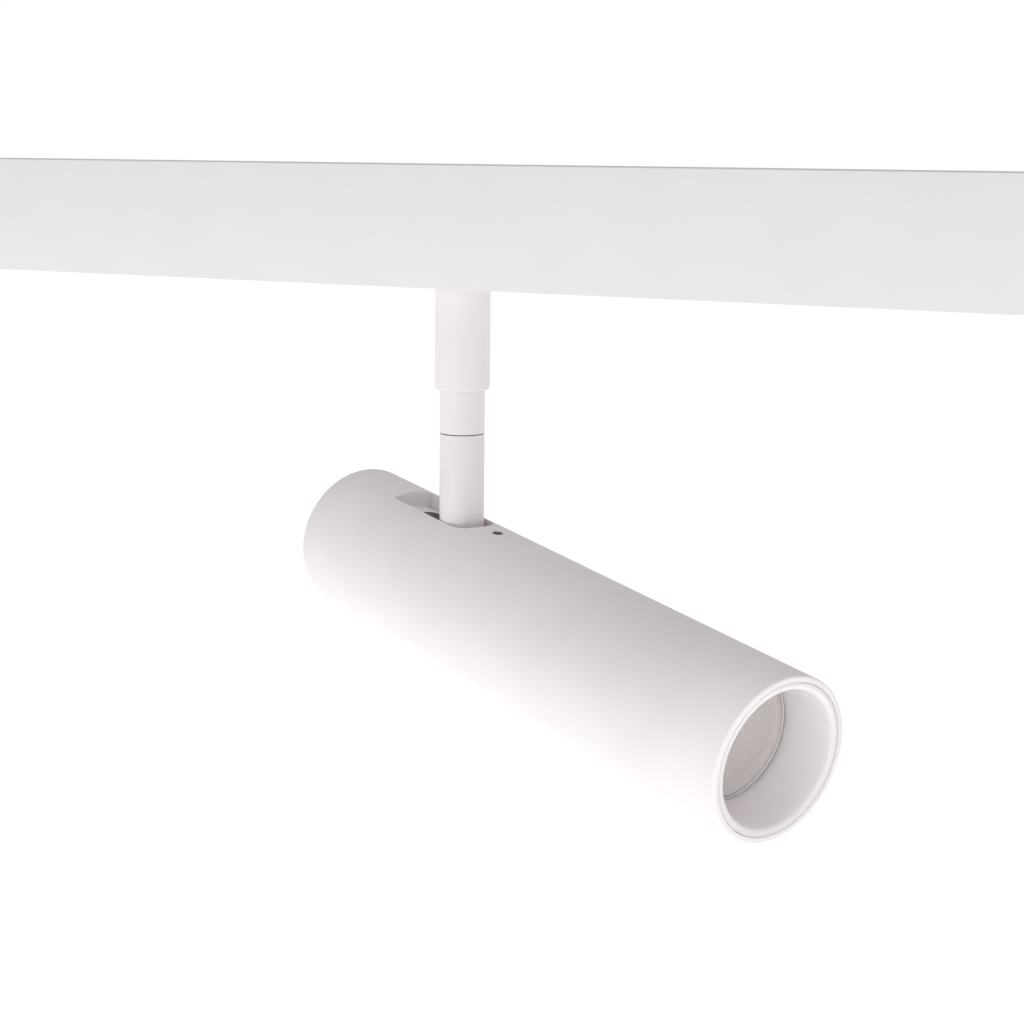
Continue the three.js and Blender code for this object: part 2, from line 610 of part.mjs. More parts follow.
/** The finned heat sink behind the light source. */
function heatSink() {
  const { rear, front, core, radius, fin, pitch, plate } = SINK;
  const outline = [[0, rear]];
  for (let x = rear; x + fin < front - plate - 2; x += pitch) {
    outline.push([core, x], [radius, x], [radius, x + fin], [core, x + fin]);
  }
  outline.push([core, front - plate], [radius, front - plate], [radius, front], [0, front]);
  const screwHoles = [-1, 1].map((side) =>
    rod(LED_SCREW.radius + GAP, front - 6, front + 1, 'x', 16).translate(0, side * HOLDER.screwAt, 0));
  const wireWay = rod(2.5, rear - 1, front + 1, 'x', 16);
  const wireNotch = box([front - plate, -1.5, 7.6], [front + 1, 1.5, 9.6]);
  return onAxis(cut(turned(outline, 'x', 32), ...screwHoles, wireWay, wireNotch));
}

/** The square ceramic board of the light source. */
function ledBoard(rear) {
  const half = LED.size / 2;
  return onAxis(box([rear, -half, -half], [rear + LED.thick, half, half]));
}

/** The plastic ring that clamps the light source, with its two screw holes. */
function ledHolder(rear) {
  const ring = pipe(HOLDER.radius, HOLDER.bore, rear, rear + HOLDER.thick, 'x', 32);
  const holes = [-1, 1].map((side) =>
    rod(LED_SCREW.radius + GAP, rear - 1, rear + HOLDER.thick + 1, 'x', 16)
      .translate(0, side * HOLDER.screwAt, 0));
  return onAxis(cut(ring, ...holes));
}

/** A pan-head screw that clamps the holder ring. */
function ledScrew(side, headRear) {
  const { radius, head, headThick, length } = LED_SCREW;
  const body = turned([
    [0, headRear - length], [radius, headRear - length], [radius, headRear], [head, headRear],
    [head, headRear + headThick * 0.6], [head * 0.7, headRear + headThick],
    [0, headRear + headThick],
  ], 'x', SMALL_ROUND);
  const drive = join(
    box([headRear + 0.7, -1.2, -0.3], [headRear + 3, 1.2, 0.3]),
    box([headRear + 0.7, -0.3, -1.2], [headRear + 3, 0.3, 1.2]));
  return onAxis(cut(body, drive).translate(0, side * HOLDER.screwAt, 0));
}

/** The clear collimator: a flange round a cone with a pocket over the light source. */
function lens() {
  const { face, flange, flangeThick, body, throat, rear } = LENS;
  return onAxis(turned([
    [0, rear + 5], [3.4, rear + 4], [3.8, rear], [throat, rear], [body * 0.82, rear + 6.5],
    [body, face - flangeThick], [flange, face - flangeThick], [flange, face], [0, face],
  ], 'x', ROUND));
}

/** The cup that centres the lens in the tube. */
function lensCup(rear) {
  const { radius, bore, ledge, ledgeThick } = LENS_CUP;
  const ledgeFront = LENS.face - LENS.flangeThick - GAP;
  return onAxis(turned([
    [bore, rear], [radius, rear], [radius, LENS.face], [bore, LENS.face], [bore, ledgeFront],
    [ledge, ledgeFront], [ledge, ledgeFront - ledgeThick], [bore, ledgeFront - ledgeThick - 1.2],
  ], 'x', ROUND));
}

/** The front trim: a lip flush with the tube's mouth and a tapered bore down to the lens. */
function baffle() {
  const { radius, mouth, throat, rear, edge } = BAFFLE;
  const front = TUBE.front;
  const round = [0, 1, 2, 3].map((i) => {
    const angle = (i / 3) * (Math.PI / 2);
    return [mouth + edge * (1 - Math.sin(angle)), front - edge * (1 - Math.cos(angle))];
  });
  return onAxis(turned([
    [throat, rear], [radius, rear], [radius, front - 0.2], [radius - 0.2, front],
    ...round.reverse().filter(([r]) => r > mouth + 0.001).reverse(), [mouth, front - edge],
  ], 'x', ROUND));
}

/** Everything that tilts about the pivot pin. */
function head() {
  const group = new THREE.Group();
  group.position.z = PIVOT_Z;
  group.rotation.y = THREE.MathUtils.degToRad(TILT_ANGLE);
  const ledRear = SINK.front + GAP;
  const holderRear = ledRear + LED.thick + GAP;
  place(group, 'main_tube', mainTube(), WHITE_PAINT);
  place(group, 'rear_cap', rearCap(), WHITE_PAINT);
  place(group, 'pivot_block', pivotBlock(), WHITE_PAINT);
  const ringHalf = O_RING.width / 2;
  const ring = pipe(BLOCK.radius, O_RING.inner, O_RING.at - ringHalf, O_RING.at + ringHalf, 'x', ROUND);
  place(group, 'cap_seal', onAxis(ring), RUBBER);
  place(group, 'pivot_pin', rod(PIN.radius, -PIN.half, PIN.half, 'y'), STEEL);
  place(group, 'spring_washer_front', springWasher(-1), STEEL);
  place(group, 'spring_washer_rear', springWasher(1), STEEL);
  place(group, 'grub_screw', grubScrew(), STEEL);
  place(group, 'heat_sink', heatSink(), ALUMINIUM);
  place(group, 'led_board', ledBoard(ledRear), CERAMIC);
  const emitter = rod(LED.emitter, holderRear, holderRear + LED.emitterThick, 'x');
  place(group, 'led_emitter', onAxis(emitter), PHOSPHOR);
  place(group, 'led_holder', ledHolder(holderRear), WHITE_PLASTIC);
  const headRear = holderRear + HOLDER.thick + GAP;
  place(group, 'led_screw_front', ledScrew(-1, headRear), STEEL);
  place(group, 'led_screw_rear', ledScrew(1, headRear), STEEL);
  place(group, 'lens', lens(), CLEAR);
  place(group, 'lens_cup', lensCup(ledRear), WHITE_PLASTIC);
  place(group, 'baffle', baffle(), WHITE_PAINT);
  return group;
}

const fixture = new THREE.Group();
const turningStem = stem();
turningStem.add(head());
fixture.add(track(), adapter(), lock(), contacts(), turningStem);

export default fixture;
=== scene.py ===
"""A slim white spotlight on a length of ceiling track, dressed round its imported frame.

Every piece is modelled in the frame of its own sub-assembly, in millimetres, and is then set
into the row frame in metres. The head's frame has its origin at the pivot, +X the way the light
looks and +Z up.
"""

import json
import logging
import math
from collections.abc import Sequence
from dataclasses import dataclass, field
from enum import Enum

import bpy
from mathutils import Matrix, Vector


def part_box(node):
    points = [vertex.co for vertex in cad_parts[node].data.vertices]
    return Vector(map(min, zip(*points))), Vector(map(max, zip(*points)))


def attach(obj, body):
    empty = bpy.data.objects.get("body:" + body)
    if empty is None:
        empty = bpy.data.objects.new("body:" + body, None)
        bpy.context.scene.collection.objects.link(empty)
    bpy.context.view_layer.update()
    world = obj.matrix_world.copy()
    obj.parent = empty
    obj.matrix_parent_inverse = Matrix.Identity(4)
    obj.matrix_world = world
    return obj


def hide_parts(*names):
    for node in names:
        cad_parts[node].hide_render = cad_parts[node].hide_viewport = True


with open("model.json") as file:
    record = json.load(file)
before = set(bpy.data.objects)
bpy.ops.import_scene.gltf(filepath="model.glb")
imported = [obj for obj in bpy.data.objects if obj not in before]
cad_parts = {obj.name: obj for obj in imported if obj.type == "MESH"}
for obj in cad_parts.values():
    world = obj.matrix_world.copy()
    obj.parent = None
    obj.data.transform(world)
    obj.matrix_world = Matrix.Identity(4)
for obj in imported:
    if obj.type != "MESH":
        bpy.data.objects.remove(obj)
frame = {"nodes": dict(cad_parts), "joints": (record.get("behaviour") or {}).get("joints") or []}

LOG = logging.getLogger("spotlight")
MODELLED_TILT = 7.73  # degrees that the head is modelled nose down
MODELLED_SWIVEL = -26.61  # degrees that the stem is modelled turned about +Z
MM = 0.001
ORIGIN = Vector((0, 0, 0))
MERGE = 0.001  # millimetres within which two corners are one
SMOOTH_ANGLE = math.radians(35)
THREAD_FACETS = 16
THREAD_BITE = 0.1  # how far a thread's ridge reaches into its bar

UPRIGHT = 0.5  # a wall is upright if its normal rises or falls by less than this
SWIVEL_GAP = 0.24  # millimetres between the fixed rod and the turning rod
SWIVEL_SEAT = 5.9  # the radius of the seat for the swivel's washer, in both rods
SWIVEL_SEAT_DEPTH = 0.7

Outline = Sequence[tuple[float, ...]]


class Axis(Enum):
    """The axis that a turned or swept piece follows."""

    X = Vector((1, 0, 0))
    Y = Vector((0, 1, 0))
    Z = Vector((0, 0, 1))


# ------------------------------------------------------------------ places in the frame


@dataclass(frozen=True)
class Span:
    """A CAD node's lowest and highest corners in some frame, in millimetres."""

    low: Vector
    high: Vector

    def holds(self, point: Vector) -> bool:
        """Tells whether a point in the same frame is inside the box."""
        return all(low < at < high for low, at, high in zip(self.low, point, self.high))

    @property
    def middle(self) -> Vector:
        """The box's centre."""
        return (self.low + self.high) / 2

    @property
    def size(self) -> Vector:
        """The box's three sides."""
        return self.high - self.low


def joint(name: str) -> dict:
    """Finds a joint of the frame by its name.

    Args:
        name: The joint's name in the record.

    Returns:
        The joint's entry.
    """
    return next(entry for entry in frame["joints"] if entry["name"] == name)


def tilt_frame(tilt_degrees: float) -> Matrix:
    """Works out the head's frame from the tilt joint and the modelled tilt.

    Args:
        tilt_degrees: How far the head is modelled nose down.

    Returns:
        The head's place in the row frame, in millimetres.
    """
    tilt = joint("head_tilt")
    across = Vector(tilt["axis"]).normalized()
    pivot = Vector(tilt["pos_m"]) / MM
    level = across.cross(Axis.Z.value)
    turn = Matrix((level, across, Axis.Z.value)).transposed().to_4x4()
    nose_down = Matrix.Rotation(math.radians(tilt_degrees), 4, "Y")
    return Matrix.Translation(pivot) @ turn @ nose_down


# ------------------------------------------------------------------ modelling tools


def deselect() -> None:
    """Leaves edit mode and selects nothing."""
    if bpy.context.object and bpy.context.object.mode != "OBJECT":
        bpy.ops.object.mode_set(mode="OBJECT")
    bpy.ops.object.select_all(action="DESELECT")


def choose(piece: bpy.types.Object) -> None:
    """Selects one piece alone and makes it active.

    Args:
        piece: The piece to work on.
    """
    deselect()
    piece.select_set(True)
    bpy.context.view_layer.objects.active = piece


def move(piece: bpy.types.Object, place: Matrix) -> bpy.types.Object:
    """Moves or turns a piece and applies its place to its mesh.

    Args:
        piece: The piece to move.
        place: How it moves.

    Returns:
        The piece.
    """
    choose(piece)
    piece.matrix_world = place
    bpy.ops.object.transform_apply()
    return piece


def rounded(corners: Outline, steps: int = 4) -> list[Vector]:
    """Rounds the corners of an outline.

    Args:
        corners: Each corner as (a, b), or as (a, b, radius) where it is rounded.
        steps: How many stretches a rounded corner has.

    Returns:
        The outline's points.
    """
    points = []
    for i, (a, b, *radius) in enumerate(corners):
        here = Vector((a, b))
        if not radius:
            points.append(here)
            continue
        back = (Vector(corners[i - 1][:2]) - here).normalized()
        ahead = (Vector(corners[(i + 1) % len(corners)][:2]) - here).normalized()
        half = back.angle(ahead) / 2
        centre = here + (back + ahead).normalized() * radius[0] / math.sin(half)
        reach = radius[0] / math.tan(half)
        first, last = here + back * reach - centre, here + ahead * reach - centre
        points += [centre + first.slerp(last, i / steps) * radius[0] for i in range(steps + 1)]
    return points


def draw_line(name: str, points: Sequence[Vector], closed: bool) -> bpy.types.Object:
    """Draws a line of edges from one point to the next, and stays in edit mode.

    Args:
        name: The new piece's name.
        points: The corners, in order.
        closed: Whether the last corner joins the first.

    Returns:
        The new piece.
    """
    deselect()
    bpy.ops.mesh.primitive_plane_add(size=1, enter_editmode=True, location=(0, 0, 0))
    piece = bpy.context.object
    piece.name = name
    bpy.ops.mesh.select_mode(type="VERT")
    bpy.ops.mesh.merge(type="CENTER")
    bpy.ops.transform.translate(value=points[0])
    way = [*points, points[0]] if closed else points
    for before, after in zip(way, way[1:]):
        bpy.ops.mesh.extrude_vertices_move(TRANSFORM_OT_translate={"value": after - before})
    bpy.ops.mesh.select_all(action="SELECT")
    bpy.ops.mesh.remove_doubles(threshold=MERGE)
    return piece


def face_out() -> None:
    """Merges doubles and turns every face outwards, and leaves edit mode."""
    bpy.ops.mesh.select_all(action="SELECT")
    bpy.ops.mesh.remove_doubles(threshold=MERGE)
    bpy.ops.mesh.normals_make_consistent(inside=False)
    bpy.ops.object.mode_set(mode="OBJECT")


def turned(name: str, corners: Outline, axis: Axis = Axis.Z, at: Vector = ORIGIN,
           facets: int = 96) -> bpy.types.Object:
    """Turns a piece as on a lathe.

    Args:
        name: The new piece's name.
        corners: The section, as (radius, place along the axis) with an optional rounding. It
            closes on itself unless both ends lie on the axis.
        axis: The axis it turns about.
        at: What that axis passes through.
        facets: How many facets there are round it.

    Returns:
        The new piece.
    """
    out = Axis.Y.value if axis is Axis.X else Axis.X.value
    points = [at + radius * out + along * axis.value for radius, along in rounded(corners)]
    closed = corners[0][0] > 0 or corners[-1][0] > 0
    piece = draw_line(name, points, closed)
    bpy.ops.mesh.spin(steps=facets, angle=math.tau, center=at, axis=axis.value)
    face_out()
    return piece


def swept(name: str, corners: Outline, axis: Axis, start: float, end: float) -> bpy.types.Object:
    """Sweeps a closed outline straight along an axis.

    Args:
        name: The new piece's name.
        corners: The section in the two other axes, in the order X, Y, Z, each corner with an
            optional rounding.
        axis: The axis to sweep along.
        start: Where the sweep starts.
        end: Where it ends.

    Returns:
        The new piece.
    """
    first, second = [other.value for other in Axis if other is not axis]
    points = [a * first + b * second + start * axis.value for a, b in rounded(corners)]
    piece = draw_line(name, points, closed=True)
    bpy.ops.mesh.edge_face_add()
    bpy.ops.mesh.extrude_region_move(TRANSFORM_OT_translate={"value": (end - start) * axis.value})
    face_out()
    return piece


def block(name: str, low: Sequence[float], high: Sequence[float]) -> bpy.types.Object:
    """Adds a rectangular block between two corners.

    Args:
        name: The new piece's name.
        low: The lowest corner.
        high: The highest corner.

    Returns:
        The new piece.
    """
    deselect()
    low, high = Vector(low), Vector(high)
    bpy.ops.mesh.primitive_cube_add(size=1, location=(low + high) / 2, scale=high - low)
    piece = bpy.context.object
    piece.name = name
    bpy.ops.object.transform_apply()
    return piece


def stick(radius: float, start: float, end: float, axis: Axis = Axis.Z,
          at: Sequence[float] = ORIGIN, facets: int = 48) -> bpy.types.Object:
    """Adds a round or prismatic bar to cut or weld with.

    Args:
        radius: Its radius.
        start: Where it starts along the axis.
        end: Where it ends.
        axis: The axis it lies along.
        at: What its axis passes through.
        facets: How many facets there are round it.

    Returns:
        The new bar.
    """
    deselect()
    turn = Axis.Z.value.rotation_difference(axis.value).to_euler()
    middle = Vector(at) + axis.value * (start + end) / 2
    bpy.ops.mesh.primitive_cylinder_add(
        vertices=facets, radius=radius, depth=end - start, location=middle, rotation=turn)
    bpy.ops.object.transform_apply()
    return bpy.context.object


def modify(piece: bpy.types.Object, kind: str, **settings: object) -> bpy.types.Object:
    """Adds a modifier and applies it.

    Args:
        piece: The piece to change.
        kind: The modifier's type.
        **settings: The modifier's own settings.

    Returns:
        The piece.
    """
    choose(piece)
    modifier = piece.modifiers.new(kind.title(), kind)
    for key, value in settings.items():
        setattr(modifier, key, value)
    bpy.ops.object.modifier_apply(modifier=modifier.name)
    return piece


def combine(piece: bpy.types.Object, operation: str,
            tools: Sequence[bpy.types.Object]) -> bpy.types.Object:
    """Cuts tools from a piece, welds them to it or keeps what they share, and removes them.

    Args:
        piece: The piece to change.
        operation: DIFFERENCE, UNION or INTERSECT.
        tools: The pieces to combine it with.

    Returns:
        The piece.
    """
    for tool in tools:
        modify(piece, "BOOLEAN", operation=operation, object=tool, solver="EXACT")
        bpy.data.objects.remove(tool, do_unlink=True)
    return piece


def carve(piece: bpy.types.Object, *tools: bpy.types.Object) -> bpy.types.Object:
    """Cuts each tool from a piece, and returns the piece."""
    return combine(piece, "DIFFERENCE", tools)


def weld(piece: bpy.types.Object, *tools: bpy.types.Object) -> bpy.types.Object:
    """Joins each tool to a piece, and returns the piece."""
    return combine(piece, "UNION", tools)


def gather(piece: bpy.types.Object, *others: bpy.types.Object) -> bpy.types.Object:
    """Puts separate bodies into one piece without welding them.

    Args:
        piece: The piece that keeps its name.
        *others: The bodies that join it.

    Returns:
        The piece.
    """
    choose(piece)
    for other in others:
        other.select_set(True)
    bpy.ops.object.join()
    return piece


def cut_cross(piece: bpy.types.Object, middle: Vector, depth: float, wide: float,
              tall: float) -> None:
    """Cuts two crossed slots in a face that looks along X.

    Args:
        piece: The piece to cut.
        middle: Where the slots cross.
        depth: How deep they are.
        wide: Half the first slot's size along Y, and the second's along Z.
        tall: Half the first slot's size along Z, and the second's along Y.
    """
    for across, up in ((wide, tall), (tall, wide)):
        corner = Vector((depth, across, up))
        carve(piece, block("cross", middle - corner, middle + corner))


def repeated(piece: bpy.types.Object, places: Sequence[Matrix]) -> bpy.types.Object:
    """Models a piece once and repeats it as separate bodies of one piece.

    Args:
        piece: The piece, where it is modelled.
        places: Where each body goes, from there.

    Returns:
        The piece with all its bodies.
    """
    copies = []
    for place in places[1:]:
        choose(piece)
        bpy.ops.object.duplicate()
        copies.append(move(bpy.context.object, place))
    move(piece, places[0])
    return gather(piece, *copies)


def soften(piece: bpy.types.Object, width: float, segments: int = 3) -> bpy.types.Object:
    """Rounds every edge that is sharper than the shading angle.

    Args:
        piece: The piece to finish.
        width: The rounding's width in millimetres.
        segments: How many faces the rounding has.

    Returns:
        The piece.
    """
    return modify(
        piece, "BEVEL", width=width, segments=segments, limit_method="ANGLE",
        angle_limit=SMOOTH_ANGLE, use_clamp_overlap=True)


def section(first: float, last: float, low: float, high: float, *turns: float) -> Outline:
    """Outlines a rectangle, as the section of a ring, a pin or a bar.

    Args:
        first: Where it starts along its first axis, or its inner radius.
        last: Where it ends along that axis, or its outer radius.
        low: Where it starts along its second axis.
        high: Where it ends along that axis.
        *turns: The rounding of all four corners, or of each in turn, 0 for none.

    Returns:
        The four corners.
    """
    corners = [(first, low), (last, low), (last, high), (first, high)]
    turns = turns * 4 if len(turns) == 1 else turns or (0, 0, 0, 0)
    return [(*corner, turn) if turn else corner for corner, turn in zip(corners, turns)]


def oblong(width: float, rear: float, front: float) -> list[tuple[float, float, float]]:
    """Outlines a slot with two round ends along its first axis.

    Args:
        width: The slot's width.
        rear: Where its rear end is.
        front: Where its front end is.

    Returns:
        The outline, each corner rounded by almost half the width.
    """
    half = width / 2
    turn = half * 0.999
    return [(front, -half, turn), (front, half, turn), (rear, half, turn), (rear, -half, turn)]


def thread(radius: float, depth: float, pitch: float, start: float, turns: int,
           axis: Axis = Axis.Z, at: Sequence[float] = ORIGIN) -> bpy.types.Object:
    """Cuts a real screw thread as a ridge to weld to a bar.

    Args:
        radius: The thread's outer radius.
        depth: How deep it is.
        pitch: The distance from one turn to the next.
        start: Where it starts along the axis.
        turns: How many turns it has.
        axis: The axis it winds along.
        at: What that axis passes through.

    Returns:
        The ridge.
    """
    root = radius - depth - THREAD_BITE
    ridge = [(root, 0.0), (radius, pitch * 0.4), (radius, pitch * 0.5), (root, pitch * 0.9)]
    piece = draw_line("thread", [Vector((r, 0, z)) for r, z in ridge], closed=True)
    bpy.ops.object.mode_set(mode="OBJECT")
    modify(piece, "SCREW", axis="Z", screw_offset=pitch, iterations=turns, steps=THREAD_FACETS,
           render_steps=THREAD_FACETS, use_merge_vertices=True, merge_threshold=MERGE)
    bpy.ops.object.mode_set(mode="EDIT")
    bpy.ops.mesh.select_all(action="DESELECT")
    bpy.ops.mesh.select_non_manifold()
    bpy.ops.mesh.edge_face_add()
    face_out()
    turn = Axis.Z.value.rotation_difference(axis.value).to_matrix().to_4x4()
    return move(piece, Matrix.Translation(Vector(at) + axis.value * start) @ turn)


# ------------------------------------------------------------------ finishes


def linear(colour: str) -> tuple[float, float, float, float]:
    """Turns an sRGB hex colour to the linear colour that shaders use.

    Args:
        colour: Six hex digits.

    Returns:
        The linear colour, opaque.
    """
    parts = [int(colour[i:i + 2], 16) / 255 for i in (0, 2, 4)]
    red, green, blue = [c / 12.92 if c <= 0.04045 else ((c + 0.055) / 1.055) ** 2.4 for c in parts]
    return (red, green, blue, 1.0)


def set_values(node: bpy.types.Node, values: dict) -> None:
    """Sets a node's inputs, or its own properties where it has no such input.

    Args:
        node: The node.
        values: The values, by the input's name or number or the property's name.
    """
    for key, value in values.items():
        if isinstance(key, int) or key in node.inputs:
            node.inputs[key].default_value = value
        else:
            setattr(node, key, value)


def add_node(tree: bpy.types.NodeTree, kind: str, settings: dict | None = None,
             links: dict | None = None) -> bpy.types.Node:
    """Adds a shader node with its settings and links.

    Args:
        tree: The node tree to add it to.
        kind: The node's type, without its first word.
        settings: Values for its inputs, or for its own properties, by name or number.
        links: The output sockets that feed its inputs, by the input's name or number.

    Returns:
        The node.
    """
    node = tree.nodes.new("ShaderNode" + kind)
    set_values(node, settings or {})
    for key, socket in (links or {}).items():
        tree.links.new(socket, node.inputs[key])
    return node


class Material:
    """A material under construction, with its pattern coordinates and its shader."""

    def __init__(self, name: str, place: Matrix, surface: dict) -> None:
        """Starts a material.

        Args:
            name: What the real material is.
            place: The frame of the sub-assembly that wears it, in millimetres.
            surface: The shader's values that are the same all over, by their own names.
        """
        self.result = bpy.data.materials.new(name)
        self.result.use_nodes = True
        self.tree = self.result.node_tree
        self.shader = self.tree.nodes["Principled BSDF"]
        set_values(self.shader, surface)
        shift, turn, _ = place.decompose()
        world = self.add("TexCoord").outputs["Object"]
        self.coordinates = self.add(
            "Mapping", {"vector_type": "TEXTURE", "Location": shift * MM, "Rotation": turn.to_euler()},
            {"Vector": world}).outputs[0]

    def add(self, kind: str, settings: dict | None = None, links: dict | None = None) -> bpy.types.Node:
        """Adds a node to this material."""
        return add_node(self.tree, kind, settings, links)

    def noise(self, size: float, detail: float = 2.0,
              stretch: tuple[float, float, float] = (1, 1, 1)) -> bpy.types.NodeSocket:
        """Adds a noise whose marks are a real size apart.

        Args:
            size: The size of a mark in millimetres.
            detail: How many finer layers it has.
            stretch: How much longer the marks are along each axis.

        Returns:
            The noise's value.
        """
        scale = [1 / s for s in stretch]
        scaled = self.add("Mapping", {"Scale": scale}, {"Vector": self.coordinates})
        return self.add("TexNoise", {"Scale": 1 / (size * MM), "Detail": detail},
                        {"Vector": scaled.outputs[0]}).outputs[0]

    def blend(self, value: bpy.types.NodeSocket, low: str, high: str,
              ends: tuple[float, float] = (0.3, 0.7)) -> None:
        """Colours the surface between two tones by a pattern.

        Args:
            value: The pattern.
            low: The tone where it is low.
            high: The tone where it is high.
            ends: The pattern's values that give each tone in full.
        """
        ramp = self.add("ValToRGB", links={0: value})
        for stop, place, tone in zip(ramp.color_ramp.elements, ends, (low, high)):
            stop.position = place
            stop.color = linear(tone)
        self.link(ramp.outputs[0], "Base Color")

    def gloss(self, value: bpy.types.NodeSocket, low: float, high: float) -> None:
        """Varies the roughness between two values by a pattern."""
        varied = self.add("MapRange", {1: 0.3, 2: 0.7, 3: low, 4: high}, {0: value})
        self.link(varied.outputs[0], "Roughness")

    def relief(self, *layers: tuple[bpy.types.NodeSocket, float]) -> None:
        """Raises the surface by one or more patterns.

        Args:
            *layers: Each pattern with its depth in millimetres.
        """
        normal = None
        for value, depth in layers:
            links = {"Height": value} if normal is None else {"Height": value, "Normal": normal}
            normal = self.add("Bump", {"Distance": depth * MM, "Strength": 1.0}, links).outputs[0]
        self.link(normal, "Normal")

    def link(self, socket: bpy.types.NodeSocket, name: str) -> None:
        """Feeds one of the shader's inputs."""
        self.tree.links.new(socket, self.shader.inputs[name])


class Lay(Enum):
    """Which way a worked metal's marks run, as stretches of its pattern."""

    DRAWN = (60, 1, 1)
    TURNED_X = (1, 40, 40)
    TURNED_Z = (40, 40, 1)
    PLAIN = (1, 1, 1)


@dataclass(frozen=True)
class Finish:
    """A real material's name, and the record's slot that it belongs to."""

    name: str
    slot: str

    def material(self, place: Matrix) -> bpy.types.Material:
        """Mixes the material for the frame of the sub-assembly that wears it."""
        raise NotImplementedError


@dataclass(frozen=True)
class PowderCoat(Finish):
    """Baked polyester powder on aluminium."""

    colour: str
    shade: str
    roughness: float
    peel: float = 2.4  # how far apart the slight waves of the baked coat are
    peel_depth: float = 0.012
    grit: float = 0.45  # the fine grain, drawn a little coarse so that it shows
    grit_depth: float = 0.004

    def material(self, place: Matrix) -> bpy.types.Material:
        """Mixes the paint. It gives the eye an even, soft white with a faint orange peel.

        Args:
            place: The frame of the sub-assembly that wears it.

        Returns:
            The material.
        """
        paint = Material(self.name, place, {"IOR": 1.5})
        cloud = paint.noise(18, 1)
        grit = paint.noise(self.grit)
        paint.blend(cloud, self.shade, self.colour)
        paint.gloss(grit, self.roughness - 0.04, self.roughness + 0.04)
        paint.relief((paint.noise(self.peel), self.peel_depth), (grit, self.grit_depth))
        return paint.result


@dataclass(frozen=True)
class MouldedPlastic(Finish):
    """Injection-moulded plastic from a spark-eroded tool."""

    colour: str
    shade: str
    roughness: float
    ior: float = 1.55
    grain: float = 0.35  # the tool's texture
    grain_depth: float = 0.008
    depth: float = 0.0  # how far light wanders in a translucent plastic

    def material(self, place: Matrix) -> bpy.types.Material:
        """Mixes the plastic. It gives the eye a fine satin grain and a faint flow of tone.

        Args:
            place: The frame of the sub-assembly that wears it.

        Returns:
            The material.
        """
        plastic = Material(self.name, place, {
            "IOR": self.ior, "Subsurface Radius": (1.0, 1.0, 1.0),
            "Subsurface Scale": self.depth * MM, "Subsurface Weight": float(self.depth > 0)})
        grain = plastic.noise(self.grain)
        plastic.blend(plastic.noise(14, 1, (3, 1, 1)), self.shade, self.colour)
        plastic.gloss(grain, self.roughness - 0.05, self.roughness + 0.05)
        plastic.relief((grain, self.grain_depth))
        return plastic.result


@dataclass(frozen=True)
class WorkedMetal(Finish):
    """Bare metal with the marks of how it was made."""

    colour: str
    shade: str
    roughness: float
    lay: Lay
    mark: float = 0.12  # the spacing of the tool's marks
    mark_depth: float = 0.003

    def material(self, place: Matrix) -> bpy.types.Material:
        """Mixes the metal. It gives the eye fine lines along the way it was worked.

        Args:
            place: The frame of the sub-assembly that wears it.

        Returns:
            The material.
        """
        metal = Material(self.name, place, {"Metallic": 1.0})
        marks = metal.noise(self.mark, 3, self.lay.value)
        metal.blend(metal.noise(6, 2), self.shade, self.colour)
        metal.gloss(marks, self.roughness - 0.08, self.roughness + 0.08)
        metal.relief((marks, self.mark_depth))
        return metal.result


@dataclass(frozen=True)
class ZincPlate(Finish):
    """Bright zinc plating on steel."""

    colour: str
    shade: str
    spangle: float = 0.8  # the crystals' size

    def material(self, place: Matrix) -> bpy.types.Material:
        """Mixes the plating. It gives the eye a cool grey with small crystals of lighter tone.

        Args:
            place: The frame of the sub-assembly that wears it.

        Returns:
            The material.
        """
        plate = Material(self.name, place, {"Metallic": 1.0})
        crystals = plate.add(
            "TexVoronoi", {"Scale": 1 / (self.spangle * MM)}, {"Vector": plate.coordinates})
        plate.blend(crystals.outputs["Distance"], self.shade, self.colour, (0.1, 0.8))
        plate.gloss(plate.noise(0.3), 0.24, 0.38)
        plate.relief((plate.noise(0.2), 0.002))
        return plate.result


@dataclass(frozen=True)
class MaskedBoard(Finish):
    """Glass-epoxy laminate under green solder mask."""

    mask: str
    track: str
    pitch: float = 1.27  # the spacing of the copper tracks under the mask

    def material(self, place: Matrix) -> bpy.types.Material:
        """Mixes the board. It gives the eye glossy green with paler tracks that show through.

        Args:
            place: The frame of the sub-assembly that wears it.

        Returns:
            The material.
        """
        board = Material(self.name, place, {"IOR": 1.5, "Coat Weight": 0.4})
        lines = board.add(
            "TexBrick",
            {"Scale": 1.0, "Mortar Size": 0.2 * self.pitch * MM, "Brick Width": 9 * self.pitch * MM,
             "Row Height": self.pitch * MM, "Color1": linear(self.mask), "Color2": linear(self.mask),
             "Mortar": linear(self.track)},
            {"Vector": board.add("Mapping", {"Rotation": (math.radians(90), 0, 0)},
                                 {"Vector": board.coordinates}).outputs[0]})
        board.link(lines.outputs["Color"], "Base Color")
        board.gloss(board.noise(0.5), 0.25, 0.4)
        board.relief((lines.outputs["Fac"], 0.03))
        return board.result


@dataclass(frozen=True)
class ClearPlastic(Finish):
    """Optical acrylic with a faint haze, as a diffusing lens has."""

    tint: str
    roughness: float
    clarity: float

    def material(self, place: Matrix) -> bpy.types.Material:
        """Mixes the acrylic. It gives the eye a bright hard surface over a milky depth.

        Args:
            place: The frame of the sub-assembly that wears it.

        Returns:
            The material.
        """
        acrylic = Material(self.name, place, {
            "IOR": 1.49, "Transmission Weight": self.clarity, "Base Color": linear(self.tint),
            "Coat Weight": 1.0, "Coat Roughness": 0.03})
        acrylic.gloss(acrylic.noise(3.0), self.roughness * 0.7, self.roughness * 1.3)
        return acrylic.result


